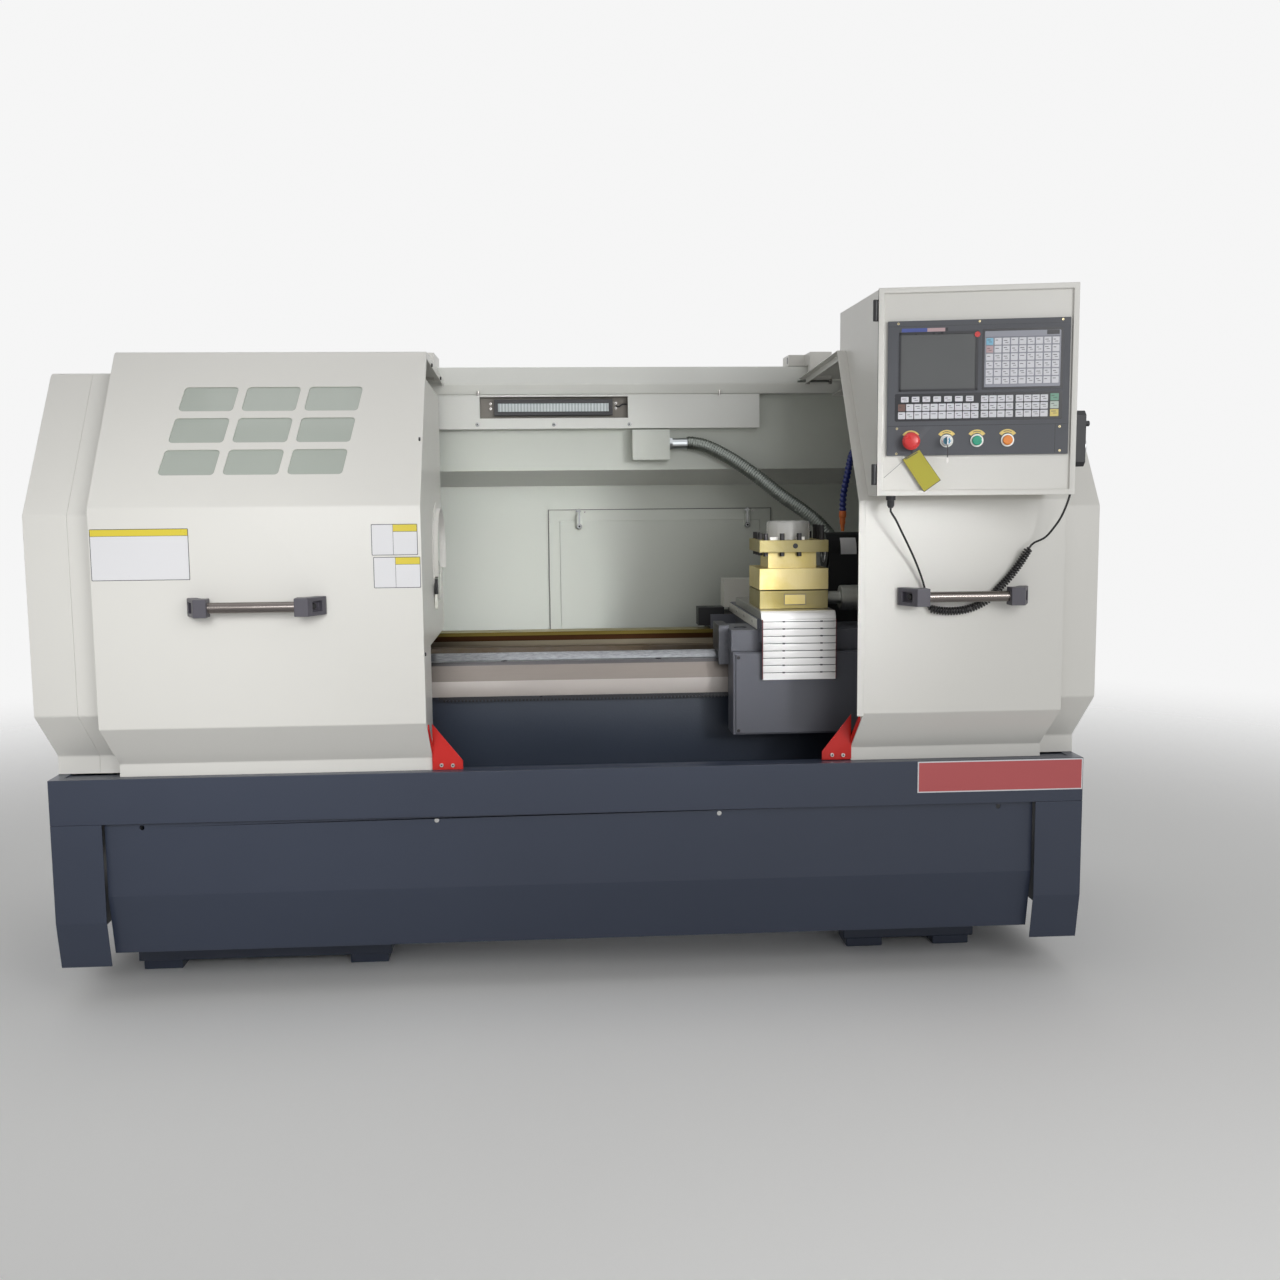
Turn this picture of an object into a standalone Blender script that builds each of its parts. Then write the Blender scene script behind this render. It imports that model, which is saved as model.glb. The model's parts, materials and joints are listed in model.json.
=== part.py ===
# Flat-bed turning lathe with sliding guard doors, a four-way turret and a hinged control console.
# Metres, +Z up, +X towards the tailstock, +Y towards the back. The floor is z = 0.
# Inside the script, y runs back from the front edge of the chip tray and heights are given
# from the tray's rim. The root empty carries the machine to the middle of its own outline.

import math

import bmesh
import bpy
from mathutils import Matrix, Vector

for item in list(bpy.data.objects):
    bpy.data.objects.remove(item, do_unlink=True)

# Driving sizes: tray, base and floor
TRAY_LENGTH = 2.54
HALF = TRAY_LENGTH / 2
TRAY_DEPTH = 1.06
TRAY_TOP = 0.57
TRAY_SIDE = 0.111
TRAY_WALL = 0.003
RIM_WIDTH = 0.030
RIM_THICKNESS = 0.008
LEDGE_WIDTH = 0.070
LEDGE_DROP = 0.003
COVER_FOLD = 0.295
COVER_BOTTOM = 0.447
COVER_LEAN = 0.030
END_COVER_WIDTH = 0.121
END_COVER_FOLD = 0.354
END_COVER_BOTTOM = 0.471
COVER_HOLE_RADIUS = 0.006
COVER_HOLE_PLACES = (0.21 - HALF, -0.35, 0.35, HALF - 0.21)
PEDESTAL_FRONT = 0.28
PEDESTAL_DEPTH = 0.54
LEFT_PEDESTAL = (0.13 - HALF, 0.75 - HALF)
RIGHT_PEDESTAL = (HALF - 0.53, HALF - 0.21)
FOOT_HEIGHT = 0.026
FOOT_SIZE = 0.10
FLANGE_THICKNESS = 0.035

# Driving sizes: guards and doors
SHEET = 0.003
FIT = 0.0003
GUARD_FACE = 0.055
GUARD_FOLDS = (0.045, 0.164, 0.632, 0.977)
END_GUARD_WIDTH = 0.10
RIGHT_GUARD_WIDTH = 0.50
COVER_END = 0.895 - HALF
BULGE = 0.130
STRIP_LEAN = 0.004
SLOPE = 1.452
DOOR_FOLDS = (0.030, 0.1375, 0.6486, 1.025)
ROOF_FALL = 0.0508
ROOF_CORNER = 0.022
LEFT_DOOR = (0.16 - HALF, 0.912 - HALF)
RIGHT_DOOR = (HALF - 0.5825, HALF - 0.096)
LEFT_DOOR_LINE = 0.0325
RIGHT_DOOR_LINE = 0.045
DOOR_RETURN = 0.018
WINDOW = (0.127, 0.072)
WINDOW_PITCH = (0.1475, 0.0925)
WINDOW_START = (0.332 - HALF, 0.275)
WINDOW_SHEAR = 0.14
WINDOW_CORNER = 0.009
GLASS = 0.004
HANDLE_LENGTH = 0.312
HANDLE_STARTS = (0.384 - HALF, HALF - 0.514)
HANDLE_BLOCK = (0.068, 0.042)
HANDLE_TUBE_RADIUS = 0.0125
HANDLE_REACH = 0.045
HANDLE_HEIGHT = 0.421
BRACKET_WIDTH = 0.075
BRACKET_HEIGHT = 0.115
BRACKET_PLANES = (0.026, 0.040)

# Driving sizes: beam, rear guard and lamp
BEAM_FRONT = 0.70
BEAM_DEPTH = 0.22
BEAM_BOTTOM = 0.957
BEAM_HEIGHT = 0.076
WALL_LINE = 0.95
WALL_TOP = 0.693
STEP_LINE = 0.76
STEP_BOTTOM = 0.738
LAMP_PANEL_END = 0.56
LAMP_PANEL_BOTTOM = 0.858
LAMP_PANEL_DEPTH = 0.04
LAMP_RECESS = (-0.258, 0.172, 0.889, 0.950)
LAMP_CASE = (-0.217, 0.128, 0.897, 0.943)
ACCESS = (-0.064, 0.630, 0.140, 0.618)
ACCESS_BORDER = 0.034
CABINET = (0.17 - HALF, 0.87 - HALF, 0.90)
CABINET_DEPTH = 0.246
JUNCTION_BOX = (0.184, 0.293, 0.766, 0.8535)
CONNECTOR = (0.735, 0.8135)
CONNECTOR_END = 0.347
CONNECTOR_RADIUS = 0.0158
CONDUIT_RADIUS = 0.0185
CONDUIT_FOOT = (HALF - 0.438, 0.690)

# Driving sizes: bed, headstock and spindle
SPINDLE_LINE = 0.52
SPINDLE_HEIGHT = 0.50
CENTRE_HEIGHT = 0.25
BED = (0.21 - HALF, HALF - 0.17)
BED_FRONT = 0.27
BED_WIDTH = 0.445
VALLEY_DEPTH = 0.10
WEB_COUNT = 9
WEB_THICKNESS = 0.03
RAIL_RISE = 0.022
RACK = (0.91 - HALF, HALF - 0.23)
RACK_PITCH = 0.00942
TOOTH_DEPTH = 0.0056
HEADSTOCK = (0.23 - HALF, 0.755 - HALF)
HEADSTOCK_HEIGHT = 0.24
SPINDLE_RADIUS = 0.055
SPINDLE_BORE = 0.041
CHUCK_RADIUS = 0.125
CHUCK_FACE = 0.878 - HALF
CHUCK_THICKNESS = 0.080
CHUCK_GUARD_RADIUS = 0.132
CHUCK_GUARD_END = 0.909 - HALF
CHUCK_GUARD_FLANGE = 0.150
CHUCK_GUARD_SPANS = ((-16, 201), (209, 236))
JAW_WIDTH = 0.028
JAW_SEAT = 0.018

# Driving sizes: carriage, turret and tailstock
SADDLE = (HALF - 0.866, HALF - 0.375)
SADDLE_FRONT = 0.19
SADDLE_RISE = 0.065
APRON_FACE = 0.165
APRON_HEIGHT = 0.215
SLIDE = (HALF - 0.7945, HALF - 0.6005)
SLIDE_THICKNESS = 0.021
GUIDE_RISE = 0.030
GUIDE_BACK = 0.80
COVER_DEPTH = 0.0125
SLAT_COUNT = 8
SLAT_PITCH = 0.0188
TURRET_WIDTH = 0.181
TURRET_CENTRE = (HALF - 0.6976, 0.310)
TURRET_LEVELS = (0.0470, 0.1050, 0.1475, 0.1785)
TURRET_GAP = 0.003
TURRET_NECK = 0.128
TURRET_CAP = (0.058, 0.049)
CLAMP_SCREW_RADIUS = 0.0065
CLAMP_SCREW_SPOTS = (-0.072, -0.029, 0.016)
MOTOR_RADIUS = 0.033
MOTOR_NECK = 0.0175
MOTOR_RISE = 0.0205
HOSE_FOOT = (HALF - 0.398, 0.722)
TAILSTOCK = (HALF - 0.558, HALF - 0.27)
BARREL_RADIUS = 0.055
QUILL_SOCKET = 0.010
QUILL_RADIUS = 0.030
WHEEL_RADIUS = 0.085

# Driving sizes: console
CONSOLE_CORNER = (HALF - 0.58, -0.181)
CONSOLE_YAW = math.radians(12.0)
CONSOLE = (0.439, 0.660, 1.127)
CONSOLE_DOOR = 0.022
CONSOLE_RIM = 0.0125
CONSOLE_BACK = 0.245
PANEL = (0.0215, 0.4215, 0.7512, 1.0520)
PANEL_SEAT = 0.008
SCREEN = (0.0485, 0.2206, 0.8955, 1.0260)
KEY_HEIGHT = 0.0022
BUTTON_HEIGHT = 0.783
BUTTON_PLACES = (0.0751, 0.1549, 0.2219, 0.2891)
STOP_SHANK = 0.0145
BUTTON_SHANK = 0.0110
BUTTON_RING = 0.0035
GENERATOR = (0.075, 0.127, 0.024)
GENERATOR_PLACE = (-0.215, 0.723)

# Sizes that follow
TRAY_BOTTOM = -TRAY_SIDE
GUARD_BACK = BEAM_FRONT - FIT
MACHINE_BACK = WALL_LINE + SHEET + FIT + CABINET_DEPTH + 0.024
MACHINE_FRONT = CONSOLE_CORNER[1] - CONSOLE[0] * math.sin(CONSOLE_YAW)
CENTRE_LINE = (MACHINE_BACK + MACHINE_FRONT) / 2
WAY_TOP = SPINDLE_HEIGHT - CENTRE_HEIGHT
BED_VALLEY = WAY_TOP - VALLEY_DEPTH
SADDLE_TOP = WAY_TOP + SADDLE_RISE
GUIDE_TOP = SADDLE_TOP + GUIDE_RISE
SLIDE_TOP = GUIDE_TOP + FIT + SLIDE_THICKNESS
APRON_TOP = SADDLE_TOP - 0.055
APRON_BOTTOM = APRON_TOP - APRON_HEIGHT


def make_material(name, colour, roughness, metallic=0.0):
    """A plain Principled BSDF in the part's colour."""
    made = bpy.data.materials.new(name)
    made.use_nodes = True
    shader = made.node_tree.nodes["Principled BSDF"]
    shader.inputs["Base Color"].default_value = (*colour, 1.0)
    shader.inputs["Roughness"].default_value = roughness
    shader.inputs["Metallic"].default_value = metallic
    made.diffuse_color = (*colour, 1.0)
    return made


WHITE = make_material("guard_white", (0.76, 0.73, 0.70), 0.45)
PALE = make_material("guard_inside", (0.50, 0.53, 0.48), 0.5)
SLATE = make_material("base_slate", (0.055, 0.065, 0.10), 0.45)
GREY = make_material("apron_grey", (0.10, 0.105, 0.125), 0.5)
DARK = make_material("tailstock_black", (0.015, 0.016, 0.018), 0.5)
IRON = make_material("ground_iron", (0.50, 0.47, 0.42), 0.35, 0.8)
STEEL = make_material("bright_steel", (0.62, 0.62, 0.62), 0.25, 1.0)
BRASSY = make_material("oiled_turret", (0.62, 0.50, 0.20), 0.3, 0.9)
ALLOY = make_material("slat_alloy", (0.75, 0.74, 0.73), 0.35, 0.6)
CHARCOAL = make_material("panel_charcoal", (0.07, 0.075, 0.085), 0.5)
SCREEN_GREY = make_material("screen_grey", (0.05, 0.055, 0.06), 0.15)
BLACK = make_material("handle_black", (0.02, 0.02, 0.022), 0.45)
RED = make_material("red_paint", (0.70, 0.04, 0.03), 0.4)
GREEN = make_material("green_button", (0.02, 0.35, 0.22), 0.35)
ORANGE = make_material("orange_button", (0.85, 0.30, 0.05), 0.35)
BLUE = make_material("hose_blue", (0.03, 0.07, 0.40), 0.4)
GLAZING = make_material("window_glass", (0.60, 0.66, 0.63), 0.1)

root = bpy.data.objects.new("machine_root", None)
root.location = (0.0, -CENTRE_LINE, TRAY_TOP)
bpy.context.collection.objects.link(root)
console_root = bpy.data.objects.new("console_root", None)
console_root.location = (CONSOLE_CORNER[0], CONSOLE_CORNER[1], 0.0)
console_root.rotation_euler = (0.0, 0.0, -CONSOLE_YAW)
console_root.parent = root
bpy.context.collection.objects.link(console_root)


def place(mesh_data, name, material, parent, smooth):
    """Turns a bmesh into a named object under the given empty."""
    mesh = bpy.data.meshes.new(name)
    bmesh.ops.recalc_face_normals(mesh_data, faces=mesh_data.faces)
    mesh_data.to_mesh(mesh)
    mesh_data.free()
    mesh.materials.append(material)
    if smooth:
        mesh.shade_smooth()
        mesh.set_sharp_from_angle(angle=math.radians(35))
    made = bpy.data.objects.new(name, mesh)
    made.parent = parent
    bpy.context.collection.objects.link(made)
    return made


def prism(outline, axis, start, end):
    """An outline in the plane across an axis, extruded along it from start to end."""
    made = bmesh.new()
    turn = {"X": lambda a, b, t: (t, a, b), "Y": lambda a, b, t: (a, t, b), "Z": lambda a, b, t: (a, b, t)}
    corners = [made.verts.new(turn[axis](a, b, start)) for a, b in outline]
    face = made.faces.new(corners)
    grown = bmesh.ops.extrude_face_region(made, geom=[face])
    moved = [part for part in grown["geom"] if isinstance(part, bmesh.types.BMVert)]
    step = Vector(turn[axis](0.0, 0.0, end - start))
    bmesh.ops.translate(made, verts=moved, vec=step)
    bmesh.ops.recalc_face_normals(made, faces=made.faces)
    return made


def box(x0, x1, y0, y1, z0, z1):
    """A block between two corners."""
    return prism([(x0, y0), (x1, y0), (x1, y1), (x0, y1)], "Z", z0, z1)


def merged(pieces):
    """Several separate closed shapes in one bmesh."""
    made = bmesh.new()
    for piece in pieces:
        scratch = bpy.data.meshes.new("scratch")
        piece.to_mesh(scratch)
        piece.free()
        made.from_mesh(scratch)
        bpy.data.meshes.remove(scratch)
    return made


def turned(profile, axis, centre, sides=32, start_angle=0.0):
    """A closed profile of (along, radius) points turned round an axis through centre."""
    made = bmesh.new()
    rings = []
    for along, radius in profile:
        ring = []
        for step in range(sides if radius > 0 else 1):
            angle = start_angle + 2 * math.pi * step / sides
            a, b = radius * math.cos(angle), radius * math.sin(angle)
            spot = {"X": (along, a, b), "Y": (a, along, b), "Z": (a, b, along)}[axis]
            ring.append(made.verts.new(Vector(centre) + Vector(spot)))
        rings.append(ring)
    for first, second in zip(rings, rings[1:] + rings[:1]):
        if len(first) == 1 and len(second) == 1:
            continue
        for step in range(sides):
            after = (step + 1) % sides
            if len(first) == 1:
                made.faces.new((first[0], second[step], second[after]))
            elif len(second) == 1:
                made.faces.new((first[step], second[0], first[after]))
            else:
                made.faces.new((first[step], second[step], second[after], first[after]))
    bmesh.ops.recalc_face_normals(made, faces=made.faces)
    return made


def rod(axis, centre, radius, start, end, sides=24):
    """A cylinder along an axis; centre gives the two other coordinates."""
    return turned([(start, 0.0), (start, radius), (end, radius), (end, 0.0)], axis, centre, sides)


def apply_tool(target, tool, operation):
    """Adds an exact Boolean whose tool is hidden and drawn as wire."""
    count = len(target.modifiers)
    helper = place(tool, f"{target.name}_tool_{count}", WHITE, target.parent, False)
    helper.hide_render = True
    helper.display_type = "WIRE"
    change = target.modifiers.new(f"{operation.lower()}_{count}", "BOOLEAN")
    change.operation = operation
    change.solver = "EXACT"
    change.object = helper
    return target


def cut(target, tool):
    """Takes a shape out of an object."""
    return apply_tool(target, tool, "DIFFERENCE")


def fuse(target, tool):
    """Joins a shape to an object."""
    return apply_tool(target, tool, "UNION")


def inset_line(points, depth):
    """An open line of points moved inwards (to its left) with mitred corners."""
    moved = []
    for index, point in enumerate(points):
        here = Vector(point)
        before = here - Vector(points[index - 1]) if index > 0 else None
        after = Vector(points[index + 1]) - here if index < len(points) - 1 else None
        sides = [step.normalized() for step in (before, after) if step is not None]
        normals = [Vector((-step.y, step.x)) for step in sides]
        across = sum(normals, Vector((0.0, 0.0))).normalized()
        moved.append(tuple(here + across * (depth / across.dot(normals[0]))))
    return moved


def ribbon(points, thickness):
    """The closed outline of a folded sheet whose outer face follows the points."""
    return list(points) + inset_line(points, -thickness)[::-1]


def rounded(corner, before, after, radius, steps):
    """Points of an arc that rounds a corner between two straight runs."""
    corner, before, after = Vector(corner), Vector(before), Vector(after)
    first = (before - corner).normalized()
    second = (after - corner).normalized()
    half = first.angle(second) / 2
    reach = radius / math.tan(half)
    centre = corner + (first + second).normalized() * (radius / math.sin(half))
    start = corner + first * reach - centre
    end = corner + second * reach - centre
    sweep = start.angle(end)
    turn = 1 if start.x * end.y > start.y * end.x else -1
    angles = [turn * sweep * step / steps for step in range(steps + 1)]
    return [tuple(centre + Matrix.Rotation(angle, 2) @ start) for angle in angles]


def guard_line(strip_line, folds, back, corner):
    """Side view of a folded guard: strip, flare, upright face, slanted face and roof."""
    face = strip_line - BULGE
    slant_end = face + (folds[3] - folds[2]) / SLOPE
    top = (slant_end, folds[3])
    low_fold = (face, folds[1])
    high_fold = (face, folds[2])
    roof_end = (back, folds[3] - ROOF_FALL * (back - slant_end))
    arc = rounded(top, high_fold, roof_end, corner, 3)
    strip_top = (strip_line + STRIP_LEAN, folds[0])
    return [(strip_line, FIT), strip_top, low_fold, high_fold, *arc, roof_end]


def chip_tray():
    """A pan with an inward rim and a running ledge for the doors along its front."""
    tray = place(box(-HALF, HALF, 0.0, TRAY_DEPTH, TRAY_BOTTOM, 0.0), "chip_tray", SLATE, root, False)
    inside = HALF - TRAY_WALL
    hollow = box(-inside, inside, TRAY_WALL, TRAY_DEPTH - TRAY_WALL, TRAY_BOTTOM + TRAY_WALL, -RIM_THICKNESS)
    cut(tray, hollow)
    mouth = HALF - RIM_WIDTH
    cut(tray, box(-mouth, mouth, LEDGE_WIDTH, TRAY_DEPTH - RIM_WIDTH, -RIM_THICKNESS - 0.01, 0.01))
    cut(tray, box(-mouth, mouth, RIM_WIDTH, LEDGE_WIDTH + 0.01, -LEDGE_DROP, 0.01))
    return tray


def pedestal(name, span):
    """A cast leg with a flange at its foot and four machined pads."""
    x0, x1 = span
    y0, y1 = PEDESTAL_FRONT, PEDESTAL_FRONT + PEDESTAL_DEPTH
    floor = -TRAY_TOP
    body = place(box(x0, x1, y0, y1, floor + FOOT_HEIGHT, TRAY_BOTTOM - FIT), name, SLATE, root, False)
    skirt = FOOT_HEIGHT + FLANGE_THICKNESS
    fuse(body, box(x0 - 0.02, x1 + 0.02, y0 - 0.02, y1 + 0.02, floor + FOOT_HEIGHT, floor + skirt))
    pads = []
    for px in (x0 - 0.01, x1 + 0.01 - FOOT_SIZE):
        for py in (y0 - 0.01, y1 + 0.01 - FOOT_SIZE):
            pads.append(box(px, px + FOOT_SIZE, py, py + FOOT_SIZE, floor, floor + FOOT_HEIGHT + 0.001))
    return fuse(body, merged(pads))


def front_cover():
    """A folded plate below the tray with a lean at its foot, turned-in edges and four holes."""
    reach = HALF - END_COVER_WIDTH - FIT
    line = 0.020
    outer = [(line + 0.022, TRAY_BOTTOM - FIT), (line, TRAY_BOTTOM - FIT), (line, -COVER_FOLD)]
    outer += [(line + COVER_LEAN, -COVER_BOTTOM), (line + COVER_LEAN + 0.022, -COVER_BOTTOM)]
    cover = place(prism(ribbon(outer, -SHEET), "X", -reach, reach), "front_cover", SLATE, root, False)
    holes = []
    for spot in COVER_HOLE_PLACES:
        height = TRAY_BOTTOM - 0.014
        holes.append(rod("Y", (spot, 0, height), COVER_HOLE_RADIUS, line - 0.01, line + SHEET + 0.005, 12))
    return cut(cover, merged(holes))


def end_cover(name, side):
    """A sheet cap over each end of the base, open towards the pedestal and below."""
    inner = side * (HALF - END_COVER_WIDTH)
    outer = side * HALF
    top = TRAY_BOTTOM - FIT
    lean = 0.022
    outline = [(0.0, top), (TRAY_DEPTH, top), (TRAY_DEPTH, -END_COVER_BOTTOM), (lean, -END_COVER_BOTTOM),
               (0.0, -END_COVER_FOLD)]
    cap = place(prism(outline, "X", inner, outer), name, SLATE, root, False)
    back = TRAY_DEPTH - SHEET
    under = -END_COVER_BOTTOM - 0.01
    hollow = [(SHEET, top - SHEET), (back, top - SHEET), (back, under), (lean + SHEET, under),
              (lean + SHEET, -END_COVER_BOTTOM), (SHEET, -END_COVER_FOLD)]
    return cut(cap, prism(hollow, "X", inner - side * 0.01, outer - side * SHEET))


def bed_outline():
    """Section of the bed: front lip, scraped slope, vee way, inner flats, valley and rear rail."""
    back = BED_FRONT + BED_WIDTH
    flat = WAY_TOP - 0.018
    vee = BED_FRONT + 0.070
    rail = back - 0.070
    floor = TRAY_BOTTOM + TRAY_WALL + FIT
    lip = flat - 0.090
    return [
        (BED_FRONT + 0.030, floor), (BED_FRONT + 0.030, lip), (BED_FRONT, lip), (BED_FRONT, lip + 0.041),
        (BED_FRONT + 0.020, flat - 0.010), (BED_FRONT + 0.020, flat), (vee - 0.025, flat), (vee, WAY_TOP),
        (vee + 0.025, flat), (BED_FRONT + 0.155, flat), (BED_FRONT + 0.155, BED_VALLEY),
        (rail - 0.045, BED_VALLEY), (rail - 0.045, flat), (rail, flat), (rail, WAY_TOP + RAIL_RISE),
        (back, WAY_TOP + RAIL_RISE), (back, flat - 0.02), (back - 0.02, flat - 0.04), (back - 0.02, floor),
    ]


def bed():
    """The cast bed, open between its cross webs so that chips fall through."""
    made = place(prism(bed_outline(), "X", *BED), "bed", IRON, root, False)
    near = BED_FRONT + 0.155
    far = BED_FRONT + BED_WIDTH - 0.115
    pitch = (BED[1] - BED[0] - WEB_THICKNESS) / (WEB_COUNT - 1)
    pockets = []
    for index in range(WEB_COUNT - 1):
        start = BED[0] + WEB_THICKNESS + index * pitch
        end = start + pitch - WEB_THICKNESS
        pockets.append(box(start, end, near, far, TRAY_BOTTOM - 0.01, BED_VALLEY + 0.01))
    return cut(made, merged(pockets))


def rack():
    """A toothed rack under the lip of the front way, its teeth pointing down."""
    top = WAY_TOP - 0.108 - FIT
    root_line = top - 0.008
    tip = root_line - TOOTH_DEPTH
    outline = [(RACK[0], root_line), (RACK[0], top), (RACK[1], top), (RACK[1], root_line)]
    count = int((RACK[1] - RACK[0]) / RACK_PITCH) - 1
    for index in range(count):
        middle = RACK[1] - RACK_PITCH * (index + 1)
        half_root = RACK_PITCH * 0.40
        half_tip = RACK_PITCH * 0.14
        outline += [(middle + half_root, root_line), (middle + half_tip, tip)]
        outline += [(middle - half_tip, tip), (middle - half_root, root_line)]
    depth = 0.026
    return place(prism(outline, "Y", BED_FRONT + 0.030 - FIT - depth, BED_FRONT + 0.030 - FIT),
                 "rack", STEEL, root, False)


def headstock():
    """The cast spindle housing, seated over the vee way and the rear rail."""
    front = BED_FRONT + 0.02
    back = BED_FRONT + BED_WIDTH + 0.06
    rail = BED_FRONT + BED_WIDTH - 0.070
    low = WAY_TOP + FIT
    high = WAY_TOP + RAIL_RISE + FIT
    top = SPINDLE_HEIGHT + HEADSTOCK_HEIGHT
    outline = [(front, low), (rail - 0.004, low), (rail - 0.004, high), (back, high), (back, top - 0.08),
               (back - 0.06, top), (front + 0.06, top), (front, top - 0.08)]
    made = place(prism(outline, "X", *HEADSTOCK), "headstock", GREY, root, False)
    centre = (0.0, SPINDLE_LINE, SPINDLE_HEIGHT)
    fuse(made, rod("X", centre, 0.105, HEADSTOCK[1] - 0.005, HEADSTOCK[1] + 0.018, 32))
    return cut(made, rod("X", centre, SPINDLE_RADIUS + FIT, HEADSTOCK[0] - 0.01, HEADSTOCK[1] + 0.03, 32))


def spindle():
    """A hollow spindle with a nose flange at the chuck and a grooved belt pulley at the back."""
    nose_end = CHUCK_FACE - CHUCK_THICKNESS - FIT
    nose_start = HEADSTOCK[1] + 0.018 + FIT
    pulley_end = HEADSTOCK[0] - 0.010
    pulley_width = 0.070
    pulley_radius = 0.100
    groove = 0.008
    start = pulley_end - pulley_width
    profile = [(start - 0.015, SPINDLE_BORE), (start - 0.015, SPINDLE_RADIUS), (start, SPINDLE_RADIUS)]
    pitch = pulley_width / 4
    for index in range(4):
        edge = start + index * pitch
        profile += [(edge, pulley_radius), (edge + pitch * 0.35, pulley_radius)]
        root_radius = pulley_radius - groove
        profile += [(edge + pitch * 0.5, root_radius), (edge + pitch * 0.85, root_radius)]
    profile += [(pulley_end, pulley_radius), (pulley_end, SPINDLE_RADIUS), (nose_start, SPINDLE_RADIUS)]
    profile += [(nose_start, 0.085), (nose_end, 0.085), (nose_end, SPINDLE_BORE)]
    return place(turned(profile, "X", (0.0, SPINDLE_LINE, SPINDLE_HEIGHT), 28), "spindle", STEEL, root, True)


def round_spindle(made, angle):
    """Turns a shape made above the x axis to its place round the spindle."""
    bmesh.ops.transform(made, matrix=Matrix.Rotation(angle, 4, "X"), verts=made.verts)
    bmesh.ops.translate(made, verts=made.verts, vec=(0.0, SPINDLE_LINE, SPINDLE_HEIGHT))
    return made


def chuck():
    """A three-jaw chuck: a body with a bore and three radial slots, and a stepped jaw in each."""
    back = CHUCK_FACE - CHUCK_THICKNESS
    chamfer = 0.004
    bore = 0.038
    profile = [(back, bore), (back, CHUCK_RADIUS - chamfer), (back + chamfer, CHUCK_RADIUS),
               (CHUCK_FACE - chamfer, CHUCK_RADIUS), (CHUCK_FACE, CHUCK_RADIUS - chamfer), (CHUCK_FACE, bore)]
    round_body = turned(profile, "X", (0.0, SPINDLE_LINE, SPINDLE_HEIGHT), 48)
    body = place(round_body, "chuck_body", STEEL, root, True)
    half = JAW_WIDTH / 2
    floor = CHUCK_FACE - JAW_SEAT
    for index in range(3):
        slot = box(floor, CHUCK_FACE + 0.01, -half, half, 0.030, CHUCK_RADIUS + 0.02)
        cut(body, round_spindle(slot, 2 * math.pi * index / 3))
    first, second, third = (CHUCK_FACE + rise for rise in (0.004, 0.011, 0.018))
    seat = floor + FIT
    inner = bore + 0.008
    outline = [(seat, inner), (seat, 0.118), (first, 0.118), (first, 0.108), (second, 0.108), (second, 0.082),
               (third, 0.082), (third, inner + 0.006), (first, inner + 0.006), (first, inner)]
    for index in range(3):
        jaw = round_spindle(prism(outline, "Y", FIT - half, half - FIT), 2 * math.pi * index / 3)
        place(jaw, f"chuck_jaw_{index + 1}", STEEL, root, False)
    return body


def fixed_shell(name, start, end, closed_low, closed_high):
    """Part of the fixed guard: a folded hood, open below and behind, with end walls where asked."""
    line = guard_line(BULGE - GUARD_FACE, GUARD_FOLDS, GUARD_BACK, 0.03)
    flat_roof = [(y, min(z, GUARD_FOLDS[3])) for y, z in line]
    outline = flat_roof + [(GUARD_BACK, FIT)]
    shell = place(prism(outline, "X", start, end), name, WHITE, root, False)
    inner = inset_line(flat_roof, -SHEET)
    inner[0] = (inner[0][0], -0.01)
    inner[-1] = (GUARD_BACK + 0.01, inner[-1][1])
    hollow = inner + [(GUARD_BACK + 0.01, -0.01)]
    low = start + SHEET if closed_low else start - 0.01
    high = end - SHEET if closed_high else end + 0.01
    return cut(shell, prism(hollow, "X", low, high))


def bed_passage(start, end):
    """The opening that lets the bed through a guard's end wall."""
    near, far = BED_FRONT - 0.012, BED_FRONT + BED_WIDTH + 0.012
    return box(start, end, near, far, -0.02, WAY_TOP + RAIL_RISE + 0.010)


def fixed_guards():
    """The left end cap, the long hood over the headstock and the right end hood."""
    seam = -HALF + END_GUARD_WIDTH
    fixed_shell("left_end_guard", -HALF, seam, True, False)
    cover = fixed_shell("headstock_cover", seam + FIT, COVER_END, False, True)
    cut(cover, bed_passage(COVER_END - 0.02, COVER_END + 0.02))
    centre = (0.0, SPINDLE_LINE, SPINDLE_HEIGHT)
    cut(cover, rod("X", centre, CHUCK_GUARD_RADIUS, COVER_END - 0.02, COVER_END + 0.02, 32))
    fixed_shell("right_end_guard", HALF - RIGHT_GUARD_WIDTH, HALF, False, True)


def arc_band(first, last, inner, outer):
    """Outline of a ring's sector about the spindle, from the back over the top, angles in degrees."""
    steps = max(2, round((last - first) / 14))
    turns = [math.radians(first + (last - first) * step / steps) for step in range(steps + 1)]
    points = []
    for radius, order in ((outer, turns), (inner, turns[::-1])):
        for turn in order:
            points.append((SPINDLE_LINE + radius * math.cos(turn), SPINDLE_HEIGHT + radius * math.sin(turn)))
    return points


def chuck_guard():
    """A rolled sheet round the chuck, in two sectors on one flange against the hood's end wall."""
    wall = COVER_END + FIT
    spans = CHUCK_GUARD_SPANS
    flange = arc_band(spans[0][0], spans[1][1], CHUCK_GUARD_RADIUS, CHUCK_GUARD_FLANGE)
    guard = place(prism(flange, "X", wall, wall + SHEET), "chuck_guard", WHITE, root, True)
    for first, last in spans:
        band = arc_band(first, last, CHUCK_GUARD_RADIUS, CHUCK_GUARD_RADIUS + SHEET)
        fuse(guard, prism(band, "X", wall + 0.001, CHUCK_GUARD_END))
    return guard


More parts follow.
